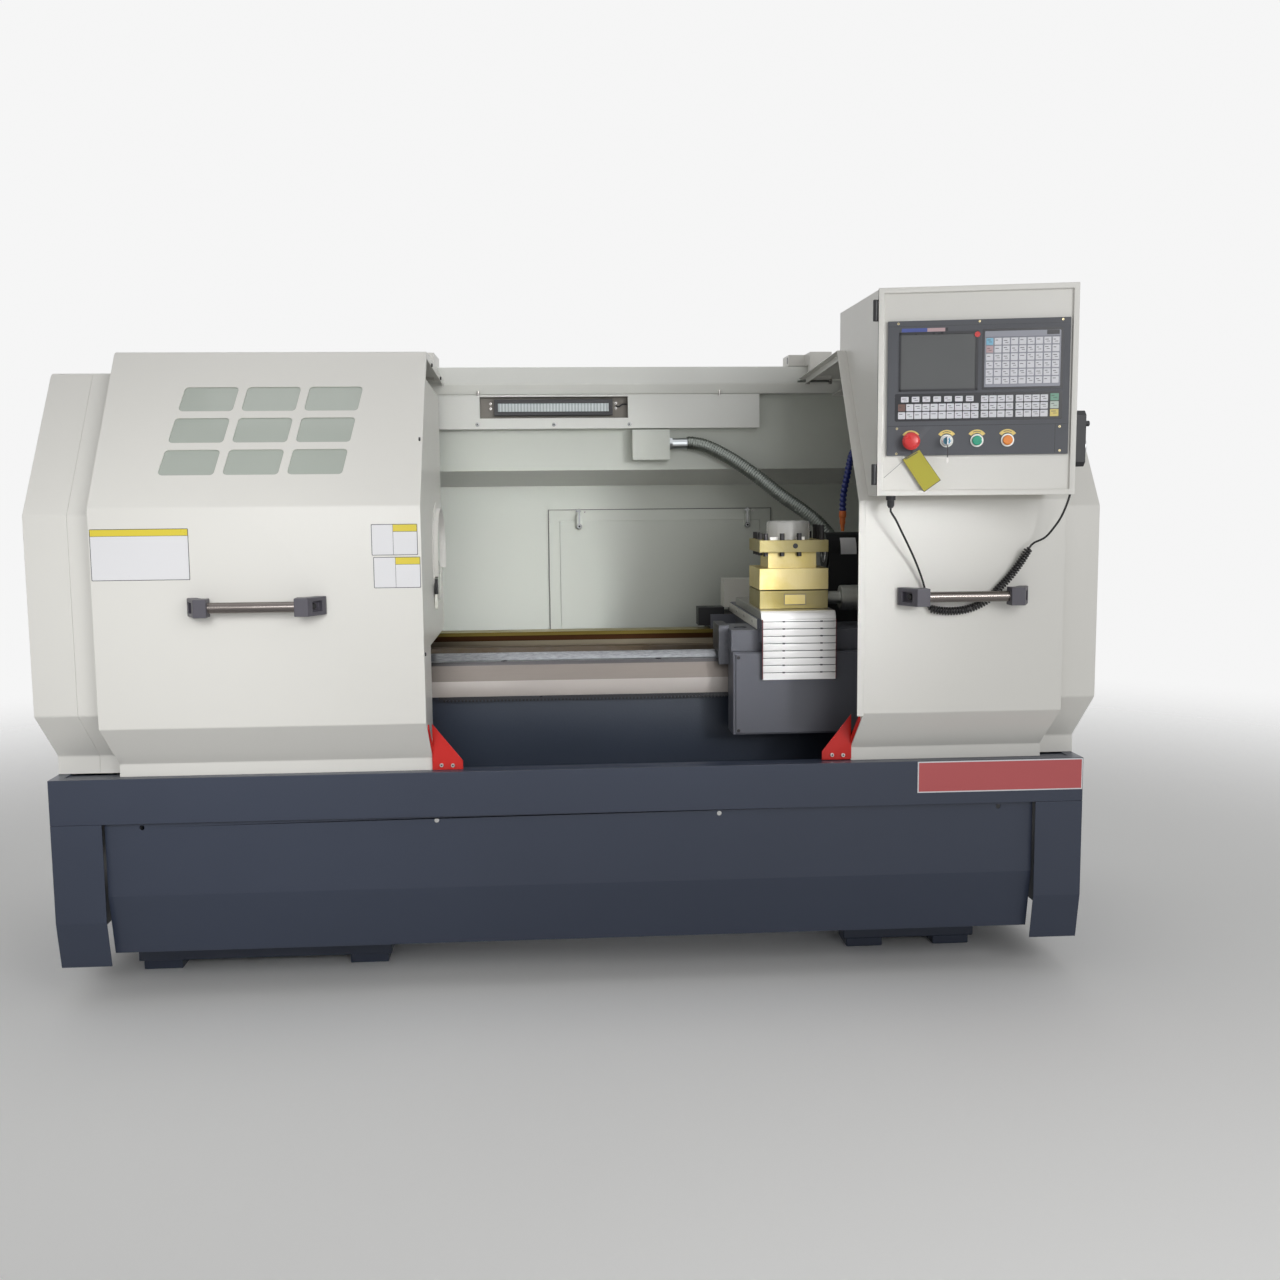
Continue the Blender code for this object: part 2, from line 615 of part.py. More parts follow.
def top_beam():
    """The beam across the top, folded under at its front edge, with the deeper lamp panel below."""
    top = BEAM_BOTTOM + BEAM_HEIGHT
    back = BEAM_FRONT + BEAM_DEPTH
    outline = [(BEAM_FRONT, top), (back, top), (back, BEAM_BOTTOM), (BEAM_FRONT + 0.015, BEAM_BOTTOM),
               (BEAM_FRONT, BEAM_BOTTOM + 0.028)]
    beam = place(prism(outline, "X", -HALF, HALF), "top_beam", WHITE, root, False)
    hollow = box(-HALF + SHEET, HALF - SHEET, STEP_LINE + 0.02, back + 0.01, BEAM_BOTTOM + SHEET, top - SHEET)
    cut(beam, hollow)
    start = -HALF + SHEET + FIT + 0.002
    face = STEP_LINE - FIT - LAMP_PANEL_DEPTH
    panel = box(start, LAMP_PANEL_END, face, STEP_LINE - FIT, LAMP_PANEL_BOTTOM, BEAM_BOTTOM + 0.001)
    fuse(beam, panel)
    x0, x1, z0, z1 = LAMP_RECESS
    cut(beam, box(x0, x1, face - 0.01, face + 0.026, z0, z1))
    return beam


def lamp():
    """A sealed work lamp in the recess of the panel, with its long lens."""
    x0, x1, z0, z1 = LAMP_CASE
    floor = STEP_LINE - FIT - LAMP_PANEL_DEPTH + 0.026
    case = place(box(x0, x1, floor - FIT - 0.020, floor - FIT, z0, z1), "lamp_housing", BLACK, root, False)
    border = 0.011
    depth = 0.006
    front = floor - FIT - 0.020
    cut(case, box(x0 + border, x1 - border, front - 0.01, front + depth, z0 + border, z1 - border))
    gap = border + FIT
    place(box(x0 + gap, x1 - gap, front + 0.002, front + depth - FIT, z0 + gap, z1 - gap),
          "lamp_lens", GLAZING, root, False)


def rear_guard():
    """The folded rear wall with its step under the beam, closed at both ends, with a service opening."""
    top = BEAM_BOTTOM - FIT
    line = [(BEAM_FRONT + BEAM_DEPTH - 0.02, top), (STEP_LINE, top), (STEP_LINE, STEP_BOTTOM),
            (WALL_LINE, WALL_TOP), (WALL_LINE, FIT)]
    inside = HALF - SHEET - FIT
    wall = place(prism(ribbon(line, -SHEET), "X", -inside, inside), "rear_guard", PALE, root, False)
    cheeks = []
    outline = [(BEAM_FRONT, FIT), (WALL_LINE + SHEET, FIT), (WALL_LINE + SHEET, WALL_TOP),
               (BEAM_FRONT + BEAM_DEPTH - 0.02, top), (BEAM_FRONT, top)]
    for side in (-1, 1):
        cheeks.append(prism(outline, "X", side * (inside - 0.001), side * HALF))
    fuse(wall, merged(cheeks))
    x0, x1, z0, z1 = ACCESS
    margin = ACCESS_BORDER + 0.01
    opening = box(x0 + margin, x1 - margin, WALL_LINE - 0.05, WALL_LINE + 0.05, z0 + margin, z1 - margin)
    return cut(wall, opening)


def access_panel():
    """The service panel on the rear wall: a border, a raised middle and two draw latches."""
    x0, x1, z0, z1 = ACCESS
    back = WALL_LINE - FIT
    panel = place(box(x0, x1, back - 0.004, back, z0, z1), "access_panel", PALE, root, False)
    edge = ACCESS_BORDER
    fuse(panel, box(x0 + edge, x1 - edge, back - 0.008, back - 0.003, z0 + edge, z1 - edge))
    latches = []
    for spot in (0.030, 0.555):
        latches.append(box(spot - 0.009, spot + 0.009, back - 0.020, back - 0.0035, 0.566, 0.604))
    return fuse(panel, merged(latches))


def junction_box():
    """The terminal box under the lamp panel with the screwed connector of the conduit."""
    x0, x1, z0, z1 = JUNCTION_BOX
    made = place(box(x0, x1, 0.705, STEP_LINE - FIT, z0, z1), "junction_box", PALE, root, False)
    centre = (0.0, *CONNECTOR)
    fuse(made, rod("X", centre, CONNECTOR_RADIUS, x1 - 0.003, CONNECTOR_END, 16))
    return fuse(made, rod("X", centre, CONNECTOR_RADIUS + 0.003, x1 - 0.0005, x1 + 0.010, 6))


def cabinet():
    """The electrical cabinet on the back of the rear guard, and its side-hung door."""
    x0, x1, height = CABINET
    front = WALL_LINE + SHEET + FIT
    back = front + CABINET_DEPTH
    shell = place(box(x0, x1, front, back, FIT, height), "electrical_cabinet", WHITE, root, False)
    wall = 0.006
    cut(shell, box(x0 + wall, x1 - wall, front + wall, back + 0.01, FIT + wall, height - wall))
    door = place(box(x0, x1, back + FIT, back + 0.018, FIT, height), "cabinet_door", WHITE, root, False)
    fuse(door, box(x1 - 0.055, x1 - 0.030, back + 0.017, back + 0.024, 0.40, 0.52))
    cut(door, box(x0 + 0.03, x1 - 0.06, back - 0.01, back + 0.014, 0.03, height - 0.03))


def door_outline(line_y):
    """Outer side view of a sliding door."""
    line = guard_line(line_y, DOOR_FOLDS, GUARD_BACK - 0.004, ROOF_CORNER)
    line[0] = (line[0][0], FIT - LEDGE_DROP)
    return line


def folded_skin(line, x0, x1):
    """A sheet folded along the line, with a return turned in along each of its two ends."""
    made = bmesh.new()

    def row(points, x):
        return [made.verts.new((x, y, z)) for y, z in points]

    def strip(first, second):
        for index in range(len(first) - 1):
            made.faces.new((first[index], first[index + 1], second[index + 1], second[index]))

    under = inset_line(line, -SHEET)
    deep = inset_line(line, -DOOR_RETURN)
    for points in (under, deep):
        points[0] = (points[0][0], line[0][1])
    stations = [(line, x0), (line, x1), (deep, x1), (deep, x1 - SHEET), (under, x1 - SHEET),
                (under, x0 + SHEET), (deep, x0 + SHEET), (deep, x0)]
    rows = [row(points, x) for points, x in stations]
    for first, second in zip(rows, rows[1:] + rows[:1]):
        strip(first, second)
    made.faces.new([points[0] for points in rows])
    made.faces.new([points[-1] for points in rows])
    bmesh.ops.recalc_face_normals(made, faces=made.faces)
    return made


def sliding_door(name, span, line_y, hanger_ends):
    """A folded door skin with returned ends, and two guide boxes that ride on the beam."""
    x0, x1 = span
    line = door_outline(line_y)
    door = place(folded_skin(line, x0, x1), name, WHITE, root, False)
    beam_top = BEAM_BOTTOM + BEAM_HEIGHT
    low, top = beam_top + FIT, beam_top + 0.034
    for start, end in hanger_ends:
        neck = [(0.62, top), (0.62, 0.990), (0.65, 0.990), (0.65, low), (0.80, low), (0.80, top)]
        hanger = prism(neck, "X", max(start, x0 + SHEET), min(end, x1 - SHEET))
        fuse(door, hanger)
        fuse(door, box(start, end, BEAM_FRONT, 0.798, low + 0.001, top - 0.001))
    return door


def slant_frame(line_y):
    """Start, direction and outward normal of a door's slanted face in the YZ plane."""
    face = line_y - BULGE
    rise = DOOR_FOLDS[3] - DOOR_FOLDS[2]
    along = Vector((rise / SLOPE, rise)).normalized()
    return Vector((face, DOOR_FOLDS[2])), along, Vector((-along.y, along.x))


def slanted_block(outline, line_y, low, high):
    """An outline in X and distance up the slant, extruded across the slanted face."""
    start, along, outward = slant_frame(line_y)
    made = prism(outline, "Z", low, high)
    frame = Matrix(((1, 0, 0, 0), (0, along.x, outward.x, start.x), (0, along.y, outward.y, start.y),
                    (0, 0, 0, 1)))
    bmesh.ops.transform(made, matrix=frame, verts=made.verts)
    bmesh.ops.recalc_face_normals(made, faces=made.faces)
    return made


def window_outline(column, row):
    """A leaning window with rounded corners, in X and distance up the slant."""
    low = WINDOW_START[1] - row * WINDOW_PITCH[1]
    shift = WINDOW_SHEAR * (low - WINDOW_START[1])
    left = WINDOW_START[0] + column * WINDOW_PITCH[0] + shift
    lean = WINDOW_SHEAR * WINDOW[1]
    corners = [(left, low), (left + WINDOW[0], low), (left + WINDOW[0] + lean, low + WINDOW[1]),
               (left + lean, low + WINDOW[1])]
    points = []
    for index, corner in enumerate(corners):
        points += rounded(corner, corners[index - 1], corners[(index + 1) % 4], WINDOW_CORNER, 3)
    return points


def left_door():
    """The left door with its three rows of three windows and the pane behind them."""
    x0, x1 = LEFT_DOOR
    hangers = [(x0 + 0.02, x0 + 0.13), (x1 - 0.13, x1 - 0.02)]
    door = sliding_door("left_door", LEFT_DOOR, LEFT_DOOR_LINE, hangers)
    holes = []
    for row in range(3):
        for column in range(3):
            holes.append(slanted_block(window_outline(column, row), LEFT_DOOR_LINE, -0.012, 0.012))
    cut(door, merged(holes))
    left = WINDOW_START[0] - 0.05
    right = WINDOW_START[0] + 2 * WINDOW_PITCH[0] + WINDOW[0] + 0.03
    low = WINDOW_START[1] - 2 * WINDOW_PITCH[1] - 0.02
    high = WINDOW_START[1] + WINDOW[1] + 0.02
    pane = [(left, low), (right, low), (right, high), (left, high)]
    glass = slanted_block(pane, LEFT_DOOR_LINE, -SHEET - FIT - GLASS, -SHEET - FIT)
    place(glass, "left_window", GLAZING, root, False)


def handle(name, line_y, start):
    """A door handle: a tube held clear of the door by two slanting arms, each with a screw pocket."""
    face = line_y - BULGE - FIT
    end = start + HANDLE_LENGTH
    width, height = HANDLE_BLOCK
    low = HANDLE_HEIGHT - height / 2
    high = HANDLE_HEIGHT + height / 2
    front = HANDLE_REACH + 0.021
    socket = HANDLE_REACH - 0.017
    arm = [(0.0, 0.0), (0.0, 0.012), (width / 2, front), (width, front), (width, socket), (0.050, socket),
           (0.026, 0.0)]
    slant = (Vector(arm[2]) - Vector(arm[1])).normalized()
    inward = Vector((slant.y, -slant.x))
    base = Vector(arm[1])
    pocket = [base + slant * 0.012 - inward * 0.01, base + slant * 0.046 - inward * 0.01,
              base + slant * 0.046 + inward * 0.012, base + slant * 0.012 + inward * 0.012]
    arms = []
    pockets = []
    for corner, side in ((start, 1), (end, -1)):
        arms.append(prism([(corner + side * u, face - d) for u, d in arm], "Z", low, high))
        hollow = [(corner + side * u, face - d) for u, d in pocket]
        pockets.append(prism(hollow, "Z", low + 0.009, high - 0.009))
    made = place(merged(arms), name, BLACK, root, False)
    cut(made, merged(pockets))
    axis = (0.0, face - HANDLE_REACH, HANDLE_HEIGHT)
    return fuse(made, rod("X", axis, HANDLE_TUBE_RADIUS, start + width * 0.75, end - width * 0.75, 16))


def corner_bracket(name, edge, side, plate_line, door_line):
    """A red corner plate: a triangular gusset above the rim and a leg along the door's end."""
    base = FIT
    near = edge + side * FIT
    far = near + side * BRACKET_WIDTH
    inner = near + side * SHEET / 2
    plate = [(inner, base), (far, base), (far, base + 0.022), (inner, base + BRACKET_HEIGHT)]
    made = place(prism(plate, "Y", plate_line, plate_line + SHEET), name, RED, root, False)
    rise = (DOOR_FOLDS[1] - DOOR_FOLDS[0]) / (BULGE + STRIP_LEAN)

    def flare(y):
        return DOOR_FOLDS[0] + (door_line + STRIP_LEAN - y) * rise

    start = plate_line + SHEET / 2
    back = door_line + 0.016
    tip = door_line - 0.100
    foot = base + 0.001
    leg = [(start, foot), (back, foot), (back, flare(back) + 0.020), (tip + 0.006, flare(tip + 0.006) + 0.020),
           (tip, flare(tip) + SHEET), (start, flare(start) + SHEET)]
    return fuse(made, prism(leg, "X", near, near + side * SHEET))


def right_door():
    """The right door, plain, with one guide box standing past its open edge."""
    x0, x1 = RIGHT_DOOR
    hangers = [(x0 - 0.045, x0 + 0.065), (x1 - 0.13, x1 - 0.02)]
    sliding_door("right_door", RIGHT_DOOR, RIGHT_DOOR_LINE, hangers)


def console_box():
    """The console's body: a wedge between its turned front and the slanted face of the door."""
    width, bottom, top = CONSOLE
    turn = Matrix.Rotation(-CONSOLE_YAW, 2)
    corner = Vector(CONSOLE_CORNER)
    front_left = corner + turn @ Vector((0.0, CONSOLE_DOOR + FIT))
    front_right = corner + turn @ Vector((width, CONSOLE_DOOR + FIT))
    outline = [tuple(front_left), tuple(front_right), (front_right.x, CONSOLE_BACK),
               (front_left.x, CONSOLE_BACK)]
    body = place(prism(outline, "Z", bottom, top), "control_box", WHITE, root, False)
    line = inset_line(door_outline(RIGHT_DOOR_LINE), FIT)
    wedge = line[1:] + [(GUARD_BACK, -0.02), (line[1][0], -0.02)]
    return cut(body, prism(wedge, "X", front_left.x - 0.05, front_right.x + 0.05))


def console_door():
    """The hinged front of the console with its raised rim, in the console's own frame."""
    width, bottom, top = CONSOLE
    door = place(box(0.0, width, 0.0, CONSOLE_DOOR, bottom, top), "control_door", WHITE, console_root, False)
    rim = CONSOLE_RIM
    cut(door, box(rim, width - rim, -0.01, PANEL_SEAT, bottom + rim, top - rim))
    hinges = []
    for low in (bottom + 0.025, top - 0.073):
        hinges.append(rod("Z", (-0.006, 0.007, 0.0), 0.0065, low, low + 0.048, 12))
    return fuse(door, merged(hinges))


def key_row(blocks, x0, count, pitch, z0, z1, size):
    """Adds one row of keys, as blocks that stand on the panel."""
    for index in range(count):
        left = x0 + index * pitch
        blocks.append(box(left, left + size, -KEY_HEIGHT, 0.0015, z0, z1))


def control_panel():
    """The keyed operator panel with its screen window and its strip of switches."""
    x0, x1, z0, z1 = PANEL
    seat = PANEL_SEAT - FIT
    panel = place(box(x0, x1, 0.0, seat, z0, z1), "control_panel", CHARCOAL, console_root, False)
    sx0, sx1, sz0, sz1 = SCREEN
    cut(panel, box(sx0, sx1, -0.01, 0.0045, sz0, sz1))
    gap = FIT
    place(box(sx0 + gap, sx1 - gap, 0.002, 0.0045 - gap, sz0 + gap, sz1 - gap), "screen", SCREEN_GREY,
          console_root, False)
    blocks = []
    for row in range(6):
        low = 0.9015 + row * 0.0213
        key_row(blocks, 0.2345, 9, 0.01965, low, low + 0.0165, 0.0160)
    key_row(blocks, 0.0400, 7, 0.0250, 0.8745, 0.8895, 0.0200)
    for row in range(2):
        low = 0.8290 + row * 0.0213
        key_row(blocks, 0.0400, 10, 0.0185, low, low + 0.0165, 0.0155)
    for row in range(3):
        low = 0.8290 + row * 0.0205
        key_row(blocks, 0.2430, 8, 0.0203, low, low + 0.0165, 0.0165)
    holes = []
    for index, spot in enumerate(BUTTON_PLACES):
        shank = STOP_SHANK if index == 0 else BUTTON_SHANK
        centre = (spot, 0.0, BUTTON_HEIGHT)
        blocks.append(rod("Y", centre, shank + BUTTON_RING, -0.004, 0.001, 24))
        holes.append(rod("Y", centre, shank + FIT, -0.01, PANEL_SEAT + 0.01, 24))
    fuse(panel, merged(blocks))
    return cut(panel, merged(holes))


def console_buttons():
    """The stop button, the key switch and the two lit buttons, each in its ring and free to move."""
    shank = STOP_SHANK
    small = BUTTON_SHANK
    stop = [(0.002, 0.0), (0.002, shank), (-0.012, shank), (-0.014, 0.0195), (-0.022, 0.0200), (-0.028, 0.0150),
            (-0.030, 0.0)]
    lens = [(0.002, 0.0), (0.002, small), (-0.010, small), (-0.012, small - 0.002), (-0.012, 0.0)]
    names = ("stop_button", "key_switch", "green_button", "orange_button")
    looks = (RED, STEEL, GREEN, ORANGE)
    for name, look, spot in zip(names, looks, BUTTON_PLACES):
        profile = stop if name == "stop_button" else lens
        holder = bpy.data.objects.new(f"{name}_axis", None)
        holder.location = (spot, 0.0, BUTTON_HEIGHT)
        holder.parent = console_root
        bpy.context.collection.objects.link(holder)
        made = place(turned(profile, "Y", (0, 0, 0), 24), name, look, holder, True)
        if name == "key_switch":
            fuse(made, box(-0.0012, 0.0012, -0.038, -0.011, -0.009, 0.009))


def generator():
    """The hand-wheel pulse unit hung on the console's right side, and its dial."""
    depth, height, thickness = GENERATOR
    width, _, _ = CONSOLE
    turn = Matrix.Rotation(-CONSOLE_YAW, 2)
    side = (Vector(CONSOLE_CORNER) + turn @ Vector((width, CONSOLE_DOOR + FIT))).x
    x0 = side + FIT
    y0, z0 = GENERATOR_PLACE
    outline = [(y0, z0 + 0.01), (y0 + 0.01, z0), (y0 + depth - 0.01, z0), (y0 + depth, z0 + 0.01),
               (y0 + depth, z0 + height - 0.01), (y0 + depth - 0.01, z0 + height), (y0 + 0.01, z0 + height),
               (y0, z0 + height - 0.01)]
    body = place(prism(outline, "X", x0, x0 + thickness), "pulse_generator", CHARCOAL, root, False)
    face = x0 + thickness
    knobs = []
    for spot in (y0 + 0.020, y0 + depth - 0.020):
        knobs.append(rod("X", (0, spot, z0 + 0.098), 0.0065, face - 0.001, face + 0.014, 12))
    fuse(body, merged(knobs))
    dial = [(face + FIT, 0.0), (face + FIT, 0.027), (face + 0.006, 0.027), (face + 0.009, 0.022),
            (face + 0.009, 0.0)]
    place(turned(dial, "X", (0, y0 + depth / 2, z0 + 0.045), 24), "pulse_dial", STEEL, root, True)


def smooth_route(points, spacing):
    """A smooth curve through the points, sampled about every spacing, as one list for each stretch."""
    route = [Vector(point) for point in points]
    route = [2 * route[0] - route[1]] + route + [2 * route[-1] - route[-2]]
    stretches = []
    for a, b, c, d in zip(route, route[1:], route[2:], route[3:]):
        steps = max(2, round((c - b).length / spacing))
        stretch = []
        for step in range(steps):
            t = step / steps
            stretch.append(0.5 * (2 * b + (c - a) * t + (2 * a - 5 * b + 4 * c - d) * t * t
                                  + (3 * b - a - 3 * c + d) * t * t * t))
        stretches.append(stretch)
    stretches.append([route[-2]])
    return stretches


def squared(points, lead_in, lead_out, gap):
    """A sampled stretch drawn back by a gap at both ends and run straight along the given directions there."""
    stub = 3 * gap + 0.002
    first = points[0] + lead_in * gap
    last = points[-1] - lead_out * gap
    return [first, first + lead_in * stub, *points[1:-1], last - lead_out * stub, last]


def tube(name, points, radius, material, resolution=2):
    """A round cord or pipe along a route."""
    curve = bpy.data.curves.new(name, "CURVE")
    curve.dimensions = "3D"
    curve.bevel_depth = radius
    curve.bevel_resolution = resolution
    curve.use_fill_caps = True
    line = curve.splines.new("POLY")
    line.points.add(len(points) - 1)
    for spot, point in zip(line.points, points):
        spot.co = (*point, 1.0)
    curve.materials.append(material)
    made = bpy.data.objects.new(name, curve)
    made.parent = root
    bpy.context.collection.objects.link(made)
    return made


# The cord's route: x from the console's corner, y and z as elsewhere
CORD_ROUTE = [
    (0.0435, -0.140, 0.6317), (0.0435, -0.140, 0.624), (0.0575, -0.137, 0.603), (0.0725, -0.131, 0.576),
    (0.0910, -0.122, 0.544), (0.1110, -0.112, 0.507), (0.1290, -0.102, 0.4685), (0.1390, -0.0975, 0.440),
    (0.1445, -0.0968, 0.412), (0.1505, -0.0968, 0.393), (0.1827, -0.0968, 0.385), (0.2253, -0.0968, 0.385),
    (0.2620, -0.0968, 0.394), (0.2950, -0.0968, 0.412), (0.3230, -0.0968, 0.4407), (0.3470, -0.0985, 0.467),
    (0.3700, -0.103, 0.5005), (0.3870, -0.111, 0.5336), (0.3960, -0.116, 0.5455), (0.4171, -0.130, 0.5585),
    (0.4319, -0.145, 0.5814), (0.4443, -0.163, 0.6115), (0.4554, -0.178, 0.6577), (0.4585, -0.180, 0.700),
    (0.4585, -0.180, 0.7227),
]
COIL_FIRST = 9
COIL_LAST = 17


def console_cord():
    """The curly cord from the gland under the console to the pulse unit: two plain ends and the coil."""
    route = [(CONSOLE_CORNER[0] + x, y, z) for x, y, z in CORD_ROUTE]
    x, y, low = route[0]
    top = CONSOLE[1] - FIT
    end = low + FIT / 2
    gland = [(end, 0.0), (end, 0.0055), (low + 0.006, 0.0085), (low + 0.018, 0.0085),
             (low + 0.018, 0.0115), (top, 0.0115), (top, 0.0)]
    place(turned(gland, "Z", (x, y, 0.0), 12), "cord_gland", BLACK, root, True)
    stretches = smooth_route(route, 0.012)
    ends = (0, COIL_FIRST, COIL_LAST, len(route) - 1)
    names = ("cord_lead", "cord_coil", "cord_tail")
    for name, first, last, radius in zip(names, ends, ends[1:], (0.003, 0.0105, 0.003)):
        points = [point for stretch in stretches[first:last] for point in stretch]
        points.append(stretches[last][0])
        tangents = []
        for spot in (first, last):
            before = Vector(route[max(spot - 1, 0)])
            after = Vector(route[min(spot + 1, len(route) - 1)])
            tangents.append((after - before).normalized())
        tube(name, squared(points, *tangents, FIT / 2), radius, BLACK)


def saddle():
    """The saddle: two wings over the ways, the cross guide between them and way wipers."""
    low = APRON_TOP
    flat = WAY_TOP - 0.018 + FIT
    vee = BED_FRONT + 0.070
    rail = BED_FRONT + BED_WIDTH - 0.070
    back = BED_FRONT + BED_WIDTH
    wing = [(SADDLE_FRONT, low), (BED_FRONT + 0.022, low), (BED_FRONT + 0.022, flat), (vee - 0.0255, flat),
            (vee, WAY_TOP + 2 * FIT), (vee + 0.0255, flat), (vee + 0.032, flat), (vee + 0.032, SADDLE_TOP),
            (SADDLE_FRONT, SADDLE_TOP)]
    rail_top = WAY_TOP + RAIL_RISE + FIT
    rear = [(rail + 0.001, rail_top), (back + FIT, rail_top), (back + FIT, flat - 0.002),
            (back + 0.085, flat - 0.002), (back + 0.085, SADDLE_TOP), (rail + 0.001, SADDLE_TOP)]
    made = place(prism(wing, "X", *SADDLE), "saddle", GREY, root, False)
    fuse(made, prism(rear, "X", *SADDLE))
    guide = [(SADDLE_FRONT - 0.018, SADDLE_TOP - 0.030), (SADDLE_FRONT + 0.03, SADDLE_TOP - 0.030),
             (SADDLE_FRONT + 0.03, rail_top + 0.004), (GUIDE_BACK, rail_top + 0.004), (GUIDE_BACK, GUIDE_TOP),
             (SADDLE_FRONT - 0.018, GUIDE_TOP)]
    fuse(made, prism(guide, "X", SLIDE[0] + 0.0005, SLIDE[1] - 0.0005))
    start, end = SLIDE
    side = SADDLE[0]
    stop = box(side - 0.035, start - 0.03, rail + 0.005, back - 0.004, SADDLE_TOP - 0.033, SADDLE_TOP + 0.020)
    bearing = box(start - 0.022, end - 0.02, GUIDE_BACK - 0.08, GUIDE_BACK - 0.001, GUIDE_TOP - 0.017,
                  GUIDE_TOP + 0.067)
    strip = box(start - 0.005, start + 0.002, SADDLE_FRONT, GUIDE_BACK - 0.07, GUIDE_TOP - 0.028,
                GUIDE_TOP - 0.002)
    out, near = side - 0.026, BED_FRONT - 0.025
    wiper = box(out, side + 0.001, near, vee + 0.030, WAY_TOP + 0.0015, SADDLE_TOP + 0.008)
    skirt = box(out, side + 0.001, near, BED_FRONT - 0.003, WAY_TOP - 0.030, WAY_TOP + 0.010)
    for extra in (stop, bearing, strip, wiper, skirt):
        fuse(made, extra)
    return made


def apron():
    """The apron box under the front wing, with a thin cover plate on its face."""
    back = BED_FRONT - 0.003
    top = APRON_TOP - FIT
    start, end = SADDLE[0] + 0.001 + FIT, SADDLE[1] - 0.006
    made = place(box(start, end, APRON_FACE + 0.004, back, APRON_BOTTOM, top), "apron", GREY, root, False)
    plate = box(start + 0.007, end - 0.007, APRON_FACE, APRON_FACE + 0.005, APRON_BOTTOM + 0.004, top - 0.003)
    return fuse(made, plate)


def slat_cover():
    """The slatted cover that hangs in front of the guide, under the slide's nose."""
    top = GUIDE_TOP
    face = SADDLE_FRONT - 0.018 - FIT
    back = APRON_FACE - FIT
    front = back - COVER_DEPTH
    low = top - 0.0052 - SLAT_COUNT * SLAT_PITCH
    outline = [(face, top), (face, SADDLE_TOP - 0.032), (back, SADDLE_TOP - 0.045), (back, low)]
    for index in range(SLAT_COUNT):
        base = low + index * SLAT_PITCH
        outline += [(front, base), (front - 0.0015, base + SLAT_PITCH * 0.9)]
    outline += [(front, top - 0.0052), (front, top)]
    return place(prism(outline, "X", SLIDE[0] + 0.005, SLIDE[1]), "slat_cover", ALLOY, root, False)


def cross_slide():
    """The cross slide plate on its guide, with the rounded nose that carries the cover's upper edge."""
    low, top = GUIDE_TOP + FIT, SLIDE_TOP
    front = APRON_FACE - FIT - COVER_DEPTH
    outline = [(0.62, top), (0.62, low), (front, low), (front, top - 0.014), (front + 0.004, top - 0.005),
               (front + 0.013, top)]
    return place(prism(outline, "X", *SLIDE), "cross_slide", IRON, root, False)


def turret():
    """The four-way turret: fixed base with its motor, and the turning head with clamp screws and cap."""
    cx, cy = TURRET_CENTRE
    half = TURRET_WIDTH / 2
    seat = SLIDE_TOP + FIT
    lower, middle, neck_top, upper = (seat + level for level in TURRET_LEVELS)
    square = (cx - half, cx + half, cy - half, cy + half)
    base = place(box(*square, seat, lower), "turret_base", BRASSY, root, False)
    inner = cx + half - 0.001
    outer = cx + half + 0.170
    flange = cx + half + 0.050
    motor = [(inner, 0.0), (inner, MOTOR_NECK), (flange, MOTOR_NECK), (flange, MOTOR_RADIUS),
             (outer, MOTOR_RADIUS), (outer, 0.0)]
    fuse(base, turned(motor, "X", (0.0, cy, seat + MOTOR_RISE), 24))
    fuse(base, rod("Z", (cx, cy, 0.0), half - 0.012, lower - 0.001, lower + TURRET_GAP - FIT, 32))
    head = place(box(*square, lower + TURRET_GAP, middle), "turret_head", BRASSY, root, False)
    core = TURRET_NECK / 2
    fuse(head, box(cx - core, cx + core, cy - core, cy + core, middle - 0.001, neck_top + 0.001))
    fuse(head, box(*square, neck_top, upper))
    ring = half - 0.014
    for spot in CLAMP_SCREW_SPOTS:
        for x, y, lift in ((spot, -ring, 0.0), (ring, spot, 0.020), (-spot, ring, 0.0), (-ring, -spot, 0.0)):
            centre = (cx + x, cy + y, 0.0)
            start, end = neck_top - 0.011 + lift / 2, upper + 0.018 + lift
            fuse(head, rod("Z", centre, CLAMP_SCREW_RADIUS, start, end, 6))
    cap_radius, cap_height = TURRET_CAP
    cap = [(upper + FIT, 0.0), (upper + FIT, cap_radius), (upper + cap_height - 0.006, cap_radius - 0.003),
           (upper + cap_height, cap_radius - 0.010), (upper + cap_height, 0.0)]
    place(turned(cap, "Z", (cx, cy, 0.0), 32), "turret_cap", ALLOY, root, True)


